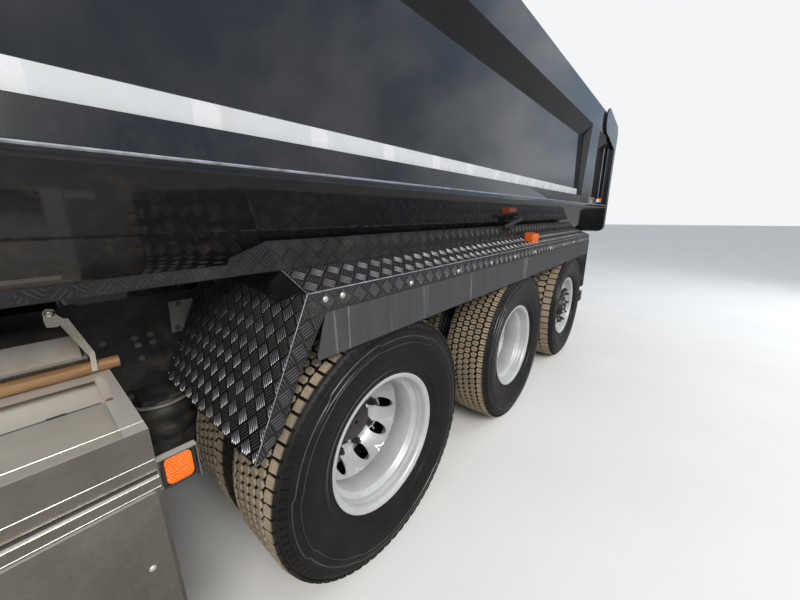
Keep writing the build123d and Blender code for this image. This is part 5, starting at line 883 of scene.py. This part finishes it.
for x, z in ((0.352, 0.709), (0.352, 0.512), (1.560, 0.709), (1.560, 0.512)):
    rivets.put(*DOME_BOLT, facing((x, DOOR_Y, z), OUT) @ Matrix.Scale(0.7, 4))
piece("door_rivets", rivets, "toolbox_door", "bolt_steel")
stain = Shape()
stain.put(*turned([(0, 0), (0.0075, 0), (0.0070, 0.0006), (0, 0.0007)], 14), moved(0.336, 1.056, 1.0402))
piece("rust_spot", stain, "chassis", "rust")
stay = Shape()
for inner_y, outline in (
        (0.8585, [(0.329, 1.052), (0.341, 1.052), (0.339, 1.095), (0.379, 1.203), (0.369, 1.212),
                  (0.359, 1.21), (0.327, 1.105)]),
        (0.8550, [(0.381, 1.192), (0.4, 1.195), (0.402, 1.211), (0.4, 1.235), (0.392, 1.242), (0.381, 1.239),
                  (0.378, 1.224), (0.367, 1.211), (0.374, 1.199)])):
    plate(stay, [(x, inner_y, z) for x, z in outline], (0, 0.003, 0))
stay.put(*DOME_BOLT, facing((0.389, 0.8580, 1.229), OUT))
piece("tool_stay", stay, "chassis", "toolbox_steel")
LAMP_X, LAMP_Z, BEZEL_Y, LENS_Y, DOT_PITCH = 0.2665, 0.9160, 1.2502, 1.2563, 0.0068
bezel = Shape()
for z in (0.8765, 0.9510):
    bezel.put(*block((0.066, 0.012, 0.0045), 0.0015), moved(LAMP_X, BEZEL_Y, z))
for x in (0.2360, 0.2970):
    bezel.put(*block((0.0045, 0.012, 0.070), 0.0015), moved(x, BEZEL_Y, 0.8810))
piece("toolbox_lamp_bezel", bezel, "chassis", "rubber_seal")
lens = Shape()
for row in range(9):
    for column in range(7):
        x = LAMP_X + (column - 3) * DOT_PITCH + (DOT_PITCH / 2 if row % 2 else 0.0)
        z = LAMP_Z + (row - 4) * DOT_PITCH
        lens.put(*turned([(0.0036, 0), (0.0024, 0.0009), (0, 0.0012)], 6), facing((x, LENS_Y, z), OUT))
piece("toolbox_lamp_lens", lens, "chassis", "lamp_amber")

# Cab and bumper: wipers, door handles, mirror glass, grille, headlamp rings, indicators
wiper_arms = Shape()
for y in (-0.62, 0.0, 0.62):
    blade_at = Vector((4.478, y, 1.905))
    bead(wiper_arms, blade_at, blade_at + Vector((-0.030, 0.50, 0.245)), 0.007, 8)
    bead(wiper_arms, (4.487, y + 0.20, 1.800), blade_at + Vector((-0.012, 0.27, 0.125)), 0.009, 8)
piece("wipers", wiper_arms, "cab", "rubber_seal")
for side, name in ((1, "left"), (-1, "right")):
    handle = Shape()
    grip = [(x, side * y, z) for x, y, z in (
        (3.395, 1.247, 1.760), (3.405, 1.276, 1.762), (3.550, 1.276, 1.762), (3.560, 1.247, 1.760))]
    for start, end in zip(grip, grip[1:]):
        bead(handle, start, end, 0.011, 10)
    piece("door_handle_" + name, handle, name + "_door", "mirror_black")
    glass_face = Shape()
    glass_face.put(*block((0.170, 0.520, 0.003), 0.001), facing((4.3045, side * 1.400, 2.230), BACK))
    piece("mirror_glass_" + name, glass_face, "cab", "mirror_glass")
slats = Shape()
for n in range(7):
    slats.put(*block((0.030, 1.520, 0.016), 0.004), moved(4.536, 0, 1.085 + 0.068 * n))
piece("grille_bars", slats, "cab", "mirror_black")
lenses = Shape()
for y in (0.722, 0.868):
    lenses.put(*turned([(0.062, 0), (0.062, 0.004), (0.056, 0.006), (0.050, 0.003), (0.030, 0.001),
                        (0.012, 0.004), (0, 0.006)], 36), facing((4.540, y, 0.640), (1, 0, 0)))
piece("headlamp_rings", lenses.mirrored(), "chassis", "mirror_glass")
blinkers = Shape()
blinkers.put(*block((0.115, 0.060, 0.008), 0.003), facing((4.549, 1.050, 0.640), (1, 0, 0)))
piece("front_indicators", blinkers.mirrored(), "chassis", "lamp_amber")

# Ribs of the steps, straps and cap of the fuel tank, lenses of the rear lamps
ribs = Shape()
for z in (0.399, 0.664, 0.929):
    for x in (3.90 + 0.035 * n for n in range(9)):
        bead(ribs, (x, 1.195, z), (x, 1.249, z), 0.004)
piece("step_ribs", ribs.mirrored(), "chassis", "galvanised")
straps = Shape()
for x in (0.62, 1.32, 2.02):
    straps.put(*block((0.050, 0.006, 0.560), 0.002), moved(x, -1.2035, 0.450))
straps.put(*turned([(0.060, 0), (0.060, 0.012), (0.050, 0.030), (0.046, 0.052), (0.038, 0.056),
                    (0, 0.056)], 28), moved(1.95, -0.95, 1.038))
piece("tank_straps", straps, "chassis", "galvanised")
segments = Shape()
for y in (0.815, 0.950, 1.085):
    segments.put(*turned([(0.048, 0), (0.048, 0.004), (0.042, 0.007), (0.020, 0.009), (0, 0.009)], 32),
                 facing((-4.095, y, 0.600), BACK))
piece("rear_lamp_lenses", segments.mirrored(), "chassis", "lamp_red")

# Pale floor, which polished metal sees darker than the camera does
bpy.ops.mesh.primitive_plane_add(size=120.0, location=(0, 0, 0))
floor = bpy.context.object
floor.name = "floor"
tree, sockets = surface("ground", Roughness=0.9)
paths = add(tree, "LightPath")
patches = ramp(tree, noise(tree, coords(tree), 1.3), 0.3, 0.7)
plain = mix(tree, patches, (0.66, 0.66, 0.65), (0.70, 0.70, 0.69))
feed(tree, mix(tree, paths.outputs["Is Glossy Ray"], plain, (0.20, 0.19, 0.18)), sockets["Base Color"])
floor.data.materials.append(MATS["ground"])

# World: even light, a pale backdrop, a soft sky with clouds in reflections
world = bpy.data.worlds.new("world")
bpy.context.scene.world = world
world.use_nodes = True
tree = world.node_tree
tree.nodes.clear()
rays = add(tree, "LightPath").outputs
direction = add(tree, "TexCoord").outputs["Generated"]
height = split(tree, direction)[2]
cloud = noise(tree, direction, 3.4, 6.0, 0.6, 0.2)
sky = mix(tree, ramp(tree, height, 0.0, 0.75), (0.30, 0.36, 0.42), (0.26, 0.40, 0.58))
sky = mix(tree, ramp(tree, cloud, 0.42, 0.66), sky, (0.80, 0.84, 0.88))
sky = mix(tree, ramp(tree, height, 0.02, 0.10), (0.16, 0.15, 0.14), sky)
reflected = add(tree, "Background")
feed(tree, sky, reflected.inputs["Color"])
even = add(tree, "Background", Color=(0.90, 0.94, 1.0, 1), Strength=0.75)
backdrop = add(tree, "Background", Color=(0.90, 0.91, 0.92, 1))
bounced = maths(tree, "MAXIMUM", rays["Is Glossy Ray"], rays["Is Transmission Ray"])
seen = even
for factor, other in ((bounced, reflected), (rays["Is Camera Ray"], backdrop)):
    blend = add(tree, "MixShader")
    feed(tree, factor, blend.inputs[0])
    feed(tree, seen.outputs[0], blend.inputs[1])
    feed(tree, other.outputs[0], blend.inputs[2])
    seen = blend
feed(tree, seen.outputs[0], add(tree, "OutputWorld").inputs["Surface"])


def lamp(name, at, target, size, power, colour, mirrored):
    data = bpy.data.lights.new(name, "AREA")
    data.shape = "RECTANGLE"
    data.size, data.size_y = size
    data.energy = power
    data.color = colour
    thing = bpy.data.objects.new(name, data)
    thing.location = at
    thing.rotation_euler = (Vector(target) - Vector(at)).to_track_quat("-Z", "Y").to_euler()
    thing.visible_glossy = mirrored
    bpy.context.collection.objects.link(thing)


lamp("key", (2.5, 8.0, 6.5), (-0.8, 0.9, 0.8), (5.0, 3.5), 900.0, (1.0, 0.96, 0.90), True)
lamp("fill", (-7.5, 6.0, 3.5), (-2.5, 1.0, 1.0), (3.0, 3.0), 220.0, (0.92, 0.96, 1.0), False)
